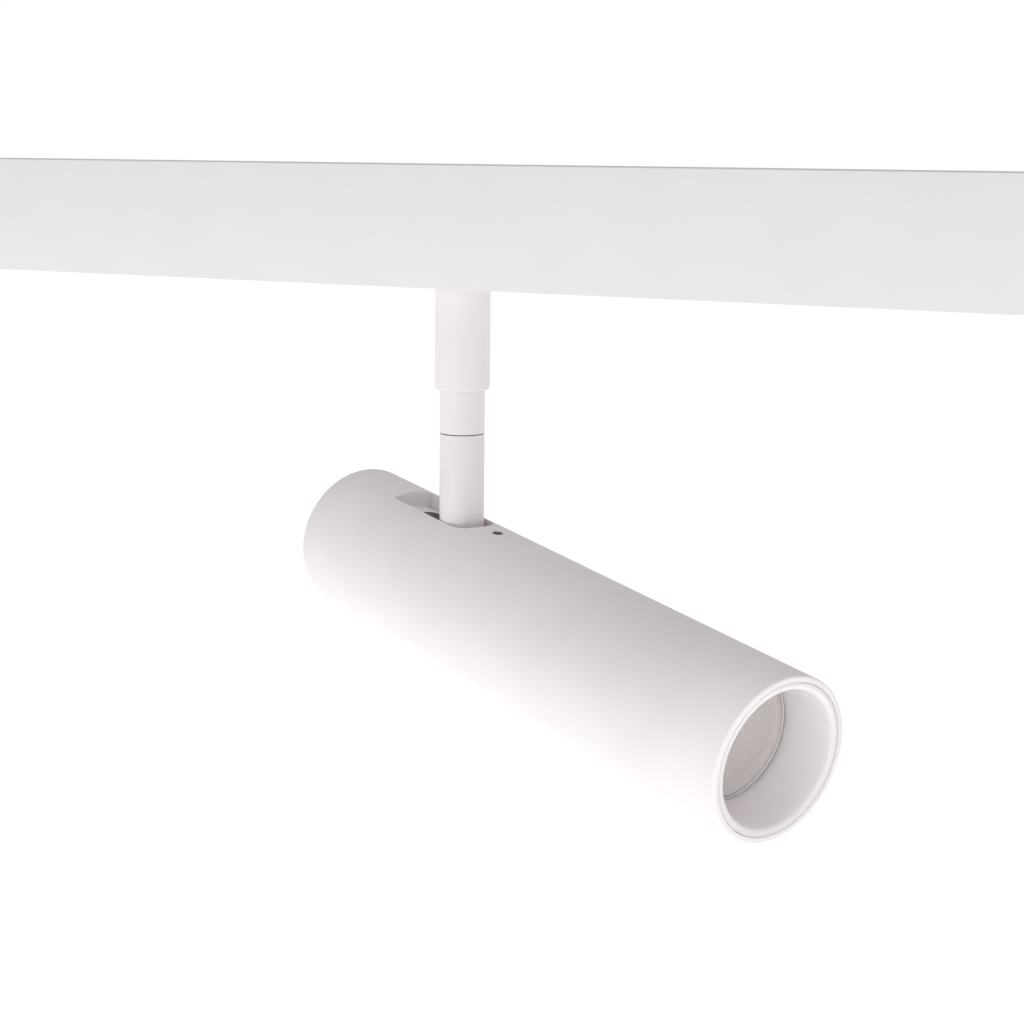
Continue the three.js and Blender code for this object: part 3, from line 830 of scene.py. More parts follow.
TRACK_PAINT = PowderCoat("smooth_white_powder_coat", "track_paint", "edeeed", "ebebeb", 0.42,
                         peel_depth=0.006, grit_depth=0.002)
HEAD_PAINT = PowderCoat("fine_white_powder_coat", "head_paint", "f4f1f3", "f1eef0", 0.55)
MATT_TRIM = MouldedPlastic("matt_translucent_polycarbonate", "baffle_paint", "f5f1f1", "f2eeee", 0.65,
                           ior=1.58, grain_depth=0.004, depth=3.0)
WHITE_PLASTIC = MouldedPlastic("moulded_white_polycarbonate", "white_plastic", "eeecea", "e9e7e5", 0.42)
CARRIER_PLASTIC = MouldedPlastic("extruded_rigid_pvc", "carrier_plastic", "d8d7d2", "d0cfca", 0.5,
                                 ior=1.53)
BLACK_PLASTIC = MouldedPlastic("moulded_black_nylon", "black_plastic", "202022", "18181a", 0.5,
                               ior=1.53)
DRAWN_COPPER = WorkedMetal("drawn_copper", "copper", "c98355", "b8703f", 0.32, Lay.DRAWN)
ROLLED_COPPER = WorkedMetal("rolled_copper_strip", "copper", "cc8a5c", "bd7848", 0.3, Lay.PLAIN)
TURNED_BRASS = WorkedMetal("turned_brass", "brass", "cfae66", "bd9a50", 0.28, Lay.TURNED_Z)
TURNED_STEEL = WorkedMetal("turned_stainless_steel", "steel", "c2c3c6", "b2b4b8", 0.3, Lay.TURNED_Z)
BLACK_STEEL = WorkedMetal("black_oxide_steel", "steel", "38383b", "2c2c2f", 0.42, Lay.PLAIN)
CROSS_STEEL = WorkedMetal("ground_steel_pin", "steel", "bfc0c4", "aeb0b5", 0.26, Lay.PLAIN)
ZINC_STEEL = ZincPlate("zinc_plated_steel", "steel", "c9ccd2", "adb2ba")
FINNED_ALUMINIUM = WorkedMetal("turned_aluminium", "heat_sink_metal", "cfd0d3", "bfc1c5", 0.36,
                               Lay.TURNED_X)
# painted shade: a darker grey for the upright walls of the head's pocket and grub hole, standing for the
# shade deep in these recesses
RECESS_SHADE_GREY = MouldedPlastic("painted_recess_shade", "head_paint", "aba3a5", "9d9598", 0.55, grain=0.5)
BOARD_LAMINATE = MaskedBoard("green_masked_laminate", "circuit_board", "17603c", "2f8a5c")
ALUMINA = MouldedPlastic("fired_alumina_ceramic", "ceramic", "f4f4ef", "ecece6", 0.4, ior=1.76,
                         grain=0.2, grain_depth=0.003)
PHOSPHOR_GEL = MouldedPlastic("phosphor_loaded_silicone", "phosphor", "f4cf55", "ecc243", 0.35,
                              ior=1.41, grain=0.15)
NITRILE = MouldedPlastic("nitrile_rubber", "rubber", "242426", "1c1c1e", 0.72, ior=1.52)
CAN_SLEEVE = MouldedPlastic("shrunk_black_sleeve", "rubber", "222226", "1a1a1e", 0.35, ior=1.54,
                            grain_depth=0.002)
CLEAR_ACRYLIC = ClearPlastic("optical_acrylic", "clear_plastic", "e8e2df", 0.16, 0.4)


# ------------------------------------------------------------------ the sub-assemblies


@dataclass
class SubAssembly:
    """Pieces that are modelled in one frame of their own and move together."""

    body: str
    place: Matrix = field(default_factory=lambda: Matrix.Identity(4))
    mixed: dict[Finish, bpy.types.Material] = field(default_factory=dict)

    def span(self, node: str) -> Span:
        """Measures a CAD node in this sub-assembly's own frame.

        Args:
            node: The CAD node's name.

        Returns:
            The node's box in that frame.
        """
        inverse = self.place.inverted()
        points = [inverse @ (vertex.co / MM) for vertex in frame["nodes"][node].data.vertices]
        low = Vector([min(point[i] for point in points) for i in range(3)])
        high = Vector([max(point[i] for point in points) for i in range(3)])
        return Span(low, high)

    def spans(self, *nodes: str) -> list[Span]:
        """Measures several CAD nodes in this sub-assembly's own frame."""
        return [self.span(node) for node in nodes]

    def fit(self, piece: bpy.types.Object, finish: Finish, *nodes: str) -> bpy.types.Object:
        """Finishes a piece: sets it in the row frame, dresses it and hands it to its body.

        Args:
            piece: The piece, modelled in this sub-assembly's frame.
            finish: What it is made of.
            *nodes: The CAD nodes that it stands for.

        Returns:
            The piece.
        """
        move(piece, Matrix.Scale(MM, 4) @ self.place)
        bpy.ops.object.shade_smooth_by_angle(angle=SMOOTH_ANGLE)
        if finish not in self.mixed:
            self.mixed[finish] = finish.material(self.place)
        piece.data.materials.clear()
        piece.data.materials.append(self.mixed[finish])
        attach(piece, self.body)
        if nodes:
            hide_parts(*nodes)
        LOG.info("%s: %s in %s, %d faces", self.body, piece.name, finish.name,
                 len(piece.data.polygons))
        return piece


@dataclass
class Track(SubAssembly):
    """The channel on the ceiling, with its conductors, its ends and its feed."""

    wall: float = 1.6
    lip: float = 1.8
    slot: float = 17.2
    flange: float = 1.2
    flange_rise: float = 1.6
    shelf: float = 1.5
    shelf_drop: float = 23.4
    rib: float = 1.2
    rib_depth: float = 1.6
    rib_inner: float = 8.4
    edge: float = 0.3
    screw_hole: float = 2.3
    countersink: float = 3.4
    screw_offset: float = 150.0
    groove_height: float = 3.0
    cap_turn: float = 1.2
    cap_gap: float = 0.06
    cap_lap: float = 1.5
    cap_foot: tuple[float, float, float] = (8.2, -32.5, -4.0)
    cap_bore: float = 1.8
    cap_screw: tuple[float, float] = (3.0, 1.3)
    terminal_pitch: float = 7.0
    terminals: int = 5

    def channel(self) -> None:
        """Sweeps the extrusion and drills it for the ceiling screws."""
        box = self.span("track_profile")
        half, bottom, slot = box.high.y, box.low.z, self.slot / 2
        inside, lip_top, flange = half - self.wall, self.lip + bottom, slot + self.flange
        rib = self.rib_inner + self.rib
        edge, fine = self.edge, self.edge / 2
        right = [
            (half, 0, edge), (half, bottom, edge), (slot, bottom, edge),
            (slot, lip_top + self.flange_rise, fine), (flange, lip_top + self.flange_rise, fine),
            (flange, lip_top, edge), (inside, lip_top, edge),
            (inside, -self.shelf_drop - self.shelf, edge),
            (inside - self.shelf, -self.shelf_drop - self.shelf / 2, fine),
            (inside - self.shelf, -self.shelf_drop, fine), (inside, -self.shelf_drop, fine),
            (inside, -self.wall, edge), (rib, -self.wall, fine),
            (rib, -self.wall - self.rib_depth, fine),
            (self.rib_inner, -self.wall - self.rib_depth, fine), (self.rib_inner, -self.wall, fine)]
        left = [(-y, *rest) for y, *rest in reversed(right)]
        piece = swept("track_channel", right + left, Axis.X, box.low.x, box.high.x)
        for side in (-1, 1):
            bore, sink = self.screw_hole, self.countersink
            at = Vector((side * self.screw_offset, 0, 0))
            drill = [(0, -self.wall - 1), (bore, -self.wall - 1), (bore, bore - sink),
                     (sink + 0.5, 0.5), (0, 0.5)]
            carve(piece, turned("drill", drill, at=at, facets=48))
        self.fit(piece, TRACK_PAINT, "track_profile")

    def conductors(self) -> None:
        """Sweeps each carrier with its two grooves, and the copper strips that lie in them."""
        for word in ("front", "rear"):
            box = self.span(f"conductor_carrier_{word}")
            side = 1 if box.middle.y > 0 else -1
            inner, outer = sorted((abs(box.low.y), abs(box.high.y)))
            strips = self.spans(f"conductor_upper_{word}", f"conductor_lower_{word}")
            back = max(abs(strips[0].low.y), abs(strips[0].high.y)) + 0.3
            outline = section(inner, outer, box.high.z, box.low.z, 0.4)
            for strip in reversed(strips):
                low, high = strip.low.z - 0.8, strip.high.z + 0.8
                mouth = self.groove_height / 2
                outline += [(inner, strip.middle.z - mouth, 0.2), (back - 2, low), (back, low, 0.2),
                            (back, high, 0.2), (back - 2, high), (inner, strip.middle.z + mouth, 0.2)]
            outline = [(side * y, *rest) for y, *rest in outline]
            carrier = swept(f"insulating_rail_{word}", outline, Axis.X, box.low.x, box.high.x)
            self.fit(carrier, CARRIER_PLASTIC, f"conductor_carrier_{word}")
            for level, strip in zip(("upper", "lower"), strips):
                corners = section(strip.low.y, strip.high.y, strip.low.z, strip.high.z, 0.5)
                bar = swept(f"copper_strip_{level}_{word}", corners, Axis.X, strip.low.x, strip.high.x)
                self.fit(soften(bar, 0.15, 2), DRAWN_COPPER, f"conductor_{level}_{word}")

    def ends(self) -> None:
        """Moulds the two end caps and turns the screw in each."""
        for word, side in (("right", 1), ("left", -1)):
            box, screw = self.spans(f"end_cap_{word}", f"end_cap_screw_{word}")
            rim = side * self.span("track_profile").high.x
            outer = box.high.x if side > 0 else box.low.x
            inner = box.low.x if side > 0 else box.high.x
            near, far = sorted((rim + side * self.cap_gap, outer))
            outline = section(-box.high.y, box.high.y, 0, box.low.z, self.cap_turn)
            plate = soften(swept(f"track_end_{word}", outline, Axis.X, near, far), 0.35)
            low, high = sorted((inner, rim + side * self.cap_lap))
            half, sole, top = self.cap_foot
            foot = soften(block("foot", (low, -half, sole), (high, half, top)), 0.4)
            ribs = [block("rib", (low + 1, y - 0.5, -31), (high - 1, y + 0.5, -25)) for y in (-8, 8)]
            weld(plate, foot, *ribs)
            axis = Vector((screw.middle.x, 0, 0))
            bore = self.cap_bore
            recess = [(0, -34), (3.5, -34), (3.3, -29.9), (bore, -29.4), (bore, -3), (0, -3)]
            carve(plate, turned("recess", recess, at=axis, facets=48))
            self.fit(plate, WHITE_PLASTIC, f"end_cap_{word}")
            head, tip = screw.low.z, screw.high.z
            wide, shank = self.cap_screw
            body = turned(f"end_screw_{word}", [
                (0, head), (wide, head, 0.35), (wide, head + 1.9, 0.2), (shank, head + 2.3),
                (shank, tip - 1), (0.6, tip), (0, tip)], at=axis, facets=48)
            weld(body, thread(shank + 0.25, 0.25, 0.7, head + 3, 14, at=axis))
            slot = block("slot", (-4, -0.4, head - 1), (4, 0.4, head + 0.9))
            self.fit(carve(body, move(slot, Matrix.Translation(axis))), ZINC_STEEL,
                     f"end_cap_screw_{word}")

    def feed(self) -> None:
        """Moulds the supply's terminal block and turns its terminal screws."""
        box = self.span("feed_block")
        body = soften(block("supply_block", box.low, box.high), 0.6)
        middle = box.middle.x
        wire_way = [(0, -17), (4.5, -17), (4.5, box.high.z - 0.8), (5.4, box.high.z + 0.1),
                    (5.4, 0), (0, 0)]
        carve(body, turned("wire_way", wire_way, at=Vector((middle, 0, 0)), facets=48))
        places = [Vector((middle + self.terminal_pitch * (i - self.terminals // 2), 0, 0))
                  for i in range(self.terminals)]
        for at in places:
            mouth = [(0, -40), (2.5, -40), (2.5, box.low.z), (2, box.low.z + 0.5),
                     (2, box.low.z + 4), (0, box.low.z + 4)]
            carve(body, turned("mouth", mouth, at=at, facets=32))
        for side in (-1, 1):
            for at in places:
                wire = stick(1.1, 0, 20, Axis.Y, (at.x, 2 if side > 0 else -22, -27), 24)
                carve(body, wire)
        self.fit(body, WHITE_PLASTIC, "feed_block")
        low = box.low.z + 1.2
        screw = turned("terminal_screws", section(0, 1.8, low, low + 2.4, 0, 0.25, 0, 0), facets=32)
        carve(screw, block("slot", (-3, -0.25, low - 1), (3, 0.25, low + 0.6)))
        turns = [Matrix.Rotation(0.7 * i, 4, "Z") for i in range(self.terminals)]
        self.fit(repeated(screw, [Matrix.Translation(at) @ turn for at, turn in zip(places, turns)]),
                 ZINC_STEEL)

    def build(self) -> None:
        """Builds the track."""
        self.channel()
        self.conductors()
        self.ends()
        self.feed()


@dataclass
class Adapter(SubAssembly):
    """The trough that slides in the track, the driver inside it and the fixed half of the stem."""

    wall: float = 1.4
    floor: float = 3.4
    edge: float = 0.5
    knob_seat: float = 6.4
    knob_depth: float = 1.6
    window_reach: float = 10.8
    sleeve_wall: float = 1.07
    sleeve_edge: float = 0.9
    rod_edge: float = 0.15
    nut_flats: float = 13.0
    vent: tuple[float, float] = (1.2, 3.6)
    vent_places: range = range(52, 100, 4)
    lead_hole: float = 0.9
    coil_turns: int = 16
    coil_wire: float = 0.42
    chip: tuple[float, float, float] = (3.9, 1.6, 4.9)
    chip_legs: int = 4
    leg_pitch: float = 1.27
    nipple_bore: float = 3.2
    nipple_thread: float = 0.45
    washer_teeth: int = 12
    tooth_twist: float = 0.35

    def knob_places(self) -> list[float]:
        """The places along the track of the two quarter-turn axes."""
        return [joint(name)["pos_m"][0] / MM for name in ("lock_turn", "contact_turn")]

    def housing(self) -> None:
        """Moulds the trough, with its knob seats, its windows and its lid."""
        box, lid = self.spans("adapter_housing", "adapter_lid")
        half, bottom = box.high.y, box.low.z
        outline = section(box.low.x, box.high.x, -half, half, 1.0)
        trough = soften(swept("adapter_trough", outline, Axis.Z, bottom, box.high.z), self.edge)
        floor, inside = bottom + self.floor, half - self.wall
        carve(trough, block("hollow", (box.low.x + self.wall, -inside, floor),
                            (box.high.x - self.wall, inside, 0)))
        for x in self.knob_places():
            seat = [(0, bottom - 1), (self.knob_seat + 0.4, bottom - 1), (self.knob_seat, bottom + 0.4),
                    (self.knob_seat, bottom + self.knob_depth), (3.3, bottom + self.knob_depth),
                    (3.3, floor + 1), (0, floor + 1)]
            carve(trough, turned("seat", seat, at=Vector((x, 0, 0)), facets=64))
        carve(trough, stick(5.2, bottom - 1, floor + 1))
        lock, contact = self.knob_places()
        cam, *blades = self.spans("lock_cam", "phase_blade", "neutral_blade")
        heights = [(lock, floor, cam.low.z + 2.8)]
        heights += [(contact, blade.middle.z - 1.4, blade.middle.z + 1.4) for blade in blades]
        for x, low, high in heights:
            carve(trough, block("window", (x - self.window_reach, -20, low),
                                (x + self.window_reach, 20, high)))
        self.fit(trough, WHITE_PLASTIC, "adapter_housing")
        top = lid.high.z
        cover = soften(swept("adapter_cover", outline, Axis.Z, top - 1.2, top), 0.3)
        ribs = [block("rib", (contact + 18, min(s * 5.5, s * 6.5), top - 2.4),
                      (box.high.x - 1.7, max(s * 5.5, s * 6.5), top - 0.7)) for s in (-1, 1)]
        wide, reach = self.vent
        vents = [block("vent", (x, -reach, top - 5), (x + wide, reach, top + 1))
                 for x in self.vent_places]
        self.fit(carve(weld(cover, *ribs), *vents), WHITE_PLASTIC, "adapter_lid")

    def driver(self) -> None:
        """Builds the driver: its board, transformer, capacitor and small parts."""
        box = self.span("driver_board")
        corners = section(box.low.x, box.high.x, box.low.z, box.high.z, 1.0)
        board = swept("driver_laminate", corners, Axis.Y, box.low.y, box.high.y)
        holes = [stick(self.lead_hole, box.low.y - 1, box.high.y + 1, Axis.Y,
                       (x, 0, box.low.z + 2.2), 24)
                 for x in (box.low.x + 2.2, box.high.x - 2.2)]
        self.fit(carve(board, *holes), BOARD_LAMINATE, "driver_board")
        core = self.span("driver_transformer")
        low, high = core.low + Vector((0, 0, 1)), core.high - Vector((0, 0, 1))
        ferrite = soften(block("ferrite_core", low, high), 0.5)
        window = block("window", (low.x + 4, low.y - 1, low.z + 3), (high.x - 4, high.y + 1, high.z - 3))
        self.fit(carve(ferrite, window), BLACK_PLASTIC, "driver_transformer")
        turns, wire = self.coil_turns, self.coil_wire
        first = low.x + 5.2
        ring = section(low.y + 0.6, high.y - 0.6, low.z + 3.6, high.z - 3.6, 1.5)
        winding = soften(swept("enamelled_winding", ring, Axis.X, first, first + 2 * wire), 0.3)
        places = [Matrix.Translation((i * (high.x - 5.2 - first - wire) / turns, 0, 0))
                  for i in range(turns)]
        self.fit(repeated(winding, places), ROLLED_COPPER)
        can = self.span("driver_capacitor")
        radius, start, end = can.size.y / 2, can.low.x, can.high.x
        body = turned("smoothing_capacitor", [
            (0, start), (radius, start, 0.6), (radius, start + 1.6), (radius - 0.6, start + 2.2, 0.3),
            (radius, start + 2.8), (radius, end, 0.5), (radius - 0.7, end, 0.1),
            (radius - 0.8, end - 0.3, 0.1), (0, end - 0.3)], Axis.X, can.middle * Vector((0, 1, 1)))
        cut_cross(body, Vector((end, can.middle.y, can.middle.z)), 0.5, 0.25, 3.2)
        self.fit(body, CAN_SLEEVE, "driver_capacitor")
        across, deep, tall = self.chip
        chip = soften(block("driver_chips", (0, 0, 0), (across, deep, tall)), 0.15)
        leg = block("leg", (-0.7, 0.02, 0.4), (across + 0.7, 0.22, 0.8))
        legs = repeated(leg, [Matrix.Translation((0, 0, self.leg_pitch * i))
                              for i in range(self.chip_legs)])
        face = box.high.y + 0.02
        spots = [Matrix.Translation((x, face, z)) for x, z in
                 ((box.low.x + 1.2, -26), (box.low.x + 1.2, -18), (73.2, -24), (101.6, -20))]
        self.fit(repeated(chip, spots), BLACK_PLASTIC)
        legs.name = "chip_legs"
        self.fit(repeated(legs, spots), ZINC_STEEL)

    def nipple(self) -> None:
        """Turns the threaded nipple, its hexagon nut and its toothed washer."""
        box, nut, washer = self.spans("threaded_nipple", "nipple_nut", "toothed_washer")
        radius, low, high = box.high.x, box.low.z, box.high.z
        bore, depth = self.nipple_bore, self.nipple_thread
        core = radius - depth
        piece = turned("hollow_nipple", section(bore, core, low, high, 0.2))
        weld(piece, thread(radius, depth, 1.0, low + 0.8, int(high - low) - 2))
        self.fit(piece, TURNED_BRASS, "threaded_nipple")
        corner = self.nut_flats / math.sqrt(3)
        low, high = nut.low.z, nut.high.z
        hexagon = move(stick(corner, low, high, facets=6), Matrix.Rotation(math.pi / 6, 4, "Z"))
        hexagon.name = "brass_nut"
        dome = turned("dome", [(0, low), (corner - 0.9, low), (corner, low + 0.5),
                               (corner, high - 0.5), (corner - 0.9, high), (0, high)])
        combine(hexagon, "INTERSECT", [dome])
        hole = [(0, low - 1), (radius + 0.6, low - 1), (radius + 0.05, low + 0.6),
                (radius + 0.05, high - 0.6), (radius + 0.6, high + 1), (0, high + 1)]
        self.fit(carve(hexagon, turned("hole", hole)), TURNED_BRASS, "nipple_nut")
        low, high = washer.low.z, washer.high.z
        ring = turned("shakeproof_washer", section(5.2, 5.7, low, high))
        tooth = block("tooth", (5.5, -0.6, low + 0.1), (6.5, 0.6, high - 0.1))
        twist = Matrix.Rotation(self.tooth_twist, 4, "X")
        height = Matrix.Translation((0, 0, (low + high) / 2))
        twisted = height @ twist @ height.inverted()
        turns = [Matrix.Rotation(math.tau * i / self.washer_teeth, 4, "Z") @ twisted
                 for i in range(self.washer_teeth)]
        self.fit(weld(ring, repeated(tooth, turns)), ZINC_STEEL, "toothed_washer")

    def fixed_stem(self) -> None:
        """Turns the sleeve, the fixed rod and the brass bush in it."""
        box = self.span("stem_sleeve")
        outer, low, high = box.high.x, box.low.z, box.high.z
        inner = outer - self.sleeve_wall
        self.fit(turned("outer_sleeve", [
            (inner, low + 0.3), (inner + 0.3, low, 0.12), (outer, low, self.sleeve_edge),
            (outer, high, 0.15), (inner, high, 0.15)], facets=160), HEAD_PAINT, "stem_sleeve")
        box, bush = self.spans("upper_rod", "swivel_bush")
        radius, high = box.high.x, box.high.z
        low = joint("stem_swivel")["pos_m"][2] / MM + SWIVEL_GAP / 2
        spindle = self.span("swivel_spindle").high.z
        edge = self.rod_edge
        self.fit(turned("fixed_rod", [
            (SWIVEL_SEAT, low, 0.1), (radius, low, edge), (radius, high, edge), (5.2, high, 0.1),
            (5.2, -46), (3.5, -47.7), (3.5, spindle + 2), (5.1, spindle),
            (5.1, low + SWIVEL_SEAT_DEPTH), (SWIVEL_SEAT, low + SWIVEL_SEAT_DEPTH)], facets=160),
            HEAD_PAINT, "upper_rod")
        wall = section(3.5, bush.high.x, bush.low.z, bush.high.z, 0.3, 0.15, 0.15, 0.3)
        self.fit(turned("bronze_bush", wall), TURNED_BRASS, "swivel_bush")

    def build(self) -> None:
        """Builds the adapter."""
        self.housing()
        self.driver()
        self.nipple()
        self.fixed_stem()


@dataclass
class QuarterTurn(SubAssembly):
    """What both quarter-turn axes share: a knob with a finger grip, set flush in the trough."""

    grip: tuple[float, float] = (10.0, 2.4)
    disc: float = 1.2

    def axis(self) -> Vector:
        """The place of this sub-assembly's own turning axis."""
        turns = [entry for entry in frame["joints"] if entry["child"] == self.body]
        return Vector((turns[0]["pos_m"][0] / MM, 0, 0))

    def knob(self, node: str) -> None:
        """Moulds the knob.

        Args:
            node: The CAD knob that it stands for.
        """
        box, at = self.span(node), self.axis()
        radius, low, high = box.size.x / 2, box.low.z, box.high.z
        face = low + 1
        piece = turned(f"{self.body}_dial", [
            (0, face), (radius, face, 0.3), (radius, face + self.disc), (3, face + self.disc),
            (3, high, 0.2), (0, high)], at=at)
        long, wide = self.grip
        grip = swept("grip", oblong(wide, -long / 2, long / 2), Axis.Z, low, face + 0.5)
        soften(grip, 0.3)
        arrow = swept("arrow", [(radius - 0.9, 0), (radius - 1.9, 0.6), (radius - 1.9, -0.6)], Axis.Z,
                      face - 1, face + 0.25)
        weld(piece, move(grip, Matrix.Translation(at)))
        across = Matrix.Rotation(math.pi / 2, 4, "Z")
        carve(piece, move(arrow, Matrix.Translation(at) @ across))
        self.fit(piece, WHITE_PLASTIC, node)


@dataclass
class Lock(QuarterTurn):
    """The knob and cam that hook the adapter over the track's lips."""

    wing: float = 5.4
    plate: float = 2.4
    hub: float = 4.4

    def cam(self) -> None:
        """Presses the two-winged cam and its hub."""
        box, at = self.span("lock_cam"), self.axis()
        reach, low = box.high.y, box.low.z
        corner, tip = self.wing / 2, reach * 0.985
        outline = section(-corner, corner, -tip, tip, 1.6)
        wings = soften(swept("locking_cam", outline, Axis.Z, low, low + self.plate), 0.25)
        hub = turned("hub", [(0, low), (self.hub, low, 0.2), (self.hub, box.high.z, 0.4),
                             (1.6, box.high.z), (1.6, box.high.z - 1.5), (0, box.high.z - 1.5)])
        self.fit(move(weld(wings, hub), Matrix.Translation(at)), ZINC_STEEL, "lock_cam")

    def build(self) -> None:
        """Builds the lock."""
        self.knob("lock_knob")
        self.cam()


@dataclass
class Contacts(QuarterTurn):
    """The knob, post and blades that reach the conductors."""

    blade: tuple[float, float] = (4.0, 1.2)
    dimple: float = 0.9

    def blades(self) -> None:
        """Moulds the post and stamps the two blades in it."""
        at = self.axis()
        post, *spans = self.spans("contact_post", "phase_blade", "neutral_blade")
        radius = post.size.x / 2
        body = turned("contact_pillar", section(0, radius, post.low.z, post.high.z, 0, 0.3, 0.8, 0),
                      at=at)
        wide, thick = self.blade
        for box in spans:
            near, far = (1.1, 8) if box.middle.y > 0 else (-8, -1.1)
            low, high = box.middle.z - thick / 2 - 0.1, box.middle.z + thick / 2 + 0.1
            carve(body, block("slit", (at.x - wide / 2 - 0.1, near, low),
                              (at.x + wide / 2 + 0.1, far, high)))
        self.fit(body, BLACK_PLASTIC, "contact_post")
        for name, word, box in zip(("phase_blade", "neutral_blade"), ("phase", "neutral"), spans):
            side = 1 if box.middle.y > 0 else -1
            near, far = sorted((abs(box.low.y), abs(box.high.y)))
            outline = section(-wide / 2, wide / 2, near, far - 0.2, 0.2, 0.2, 1.3, 1.3)
            outline = [(at.x + x, side * y, turn) for x, y, turn in outline]
            tongue = soften(swept(f"{word}_contact", outline, Axis.Z, box.low.z, box.high.z), 0.2)
            dimple = turned("dimple", [(0, box.high.z - 0.3), (self.dimple, box.high.z - 0.3),
                                       (0, box.high.z + 2)], at=Vector((at.x, side * (far - 2.4), 0)),
                            facets=32)
            self.fit(carve(tongue, dimple), ROLLED_COPPER, name)

    def build(self) -> None:
        """Builds the contacts."""
        self.knob("contact_knob")
        self.blades()


@dataclass
class Stem(SubAssembly):
    """The half of the stem that turns, with the spindle, clip and washer it turns on."""

    edge: float = 0.15
    bore: float = 3.5
    wire_bore: float = 3.0
    end_edge: float = 1.5
    pin_hole: float = 1.95
    clip_gap: float = 1.2
    spindle_bore: float = 2.2
    spindle_groove: float = 0.5

    def rod(self) -> None:
        """Turns the rod, rounds its end to swing in the pocket and drills it for the pin."""
        box, pivot = self.span("lower_rod"), joint("head_tilt")["pos_m"][2] / MM
        radius, end = box.size.x / 2, box.low.z
        top = joint("stem_swivel")["pos_m"][2] / MM - SWIVEL_GAP / 2
        shoulder = self.span("swivel_spindle").low.z - 0.3
        piece = turned("turning_rod", [
            (self.wire_bore, end, 0.2), (radius, end, self.end_edge), (radius, top, self.edge),
            (SWIVEL_SEAT, top, 0.1), (SWIVEL_SEAT, top - SWIVEL_SEAT_DEPTH),
            (self.bore, top - SWIVEL_SEAT_DEPTH), (self.bore, shoulder),
            (self.wire_bore, shoulder - 0.4)], facets=160)
        keep = weld(stick(radius - 0.02, -12, 12, Axis.Y, (0, 0, pivot), 96),
                    block("above", (-12, -12, pivot), (12, 12, 0)))
        combine(piece, "INTERSECT", [keep])
        carve(piece, stick(self.pin_hole, -12, 12, Axis.Y, (0, 0, pivot)))
        self.fit(piece, HEAD_PAINT, "lower_rod")

    def swivel(self) -> None:
        """Turns the spindle, and adds its clip and the washer that takes the wear."""
        box, clip, washer = self.spans("swivel_spindle", "retaining_clip", "swivel_washer")
        radius = box.size.x / 2
        bore, root = self.spindle_bore, radius - self.spindle_groove
        self.fit(turned("swivel_tube", [
            (bore, box.low.z, 0.3), (radius, box.low.z, 0.3), (radius, clip.low.z - 0.1),
            (root, clip.low.z - 0.1), (root, clip.high.z + 0.1), (radius, clip.high.z + 0.1),
            (radius, box.high.z, 0.3), (bore, box.high.z, 0.3)]), TURNED_STEEL, "swivel_spindle")
        outer = clip.size.y / 2
        ring = turned("spindle_clip", section(radius - 0.3, outer, clip.low.z, clip.high.z, 0.1))
        gap = block("gap", (0, -self.clip_gap, clip.low.z - 1), (10, self.clip_gap, clip.high.z + 1))
        bays = [stick(1.1, clip.low.z - 1, clip.high.z + 1, at=(0, side * outer * 0.72, 0))
                for side in (-1, 1)]
        self.fit(carve(ring, gap, *bays), ZINC_STEEL, "retaining_clip")
        outer = washer.size.x / 2
        ring = section(radius + 0.3, outer, washer.low.z, washer.high.z, 0.2, 0.25, 0.25, 0.2)
        self.fit(turned("thrust_washer", ring), BLACK_PLASTIC, "swivel_washer")

    def build(self) -> None:
        """Builds the turning stem."""
        self.rod()
        self.swivel()


@dataclass
class HeadPart(SubAssembly):
    """What the head's two groups share: the tube's axis, below the pivot."""

    @property
    def axis(self) -> Vector:
        """A point on the tube's axis."""
        return Vector((0, 0, self.span("rear_cap").middle.z))

    def lathe(self, name: str, corners: Outline, facets: int = 160) -> bpy.types.Object:
        """Turns a piece about the tube's axis."""
        return turned(name, corners, Axis.X, self.axis, facets)


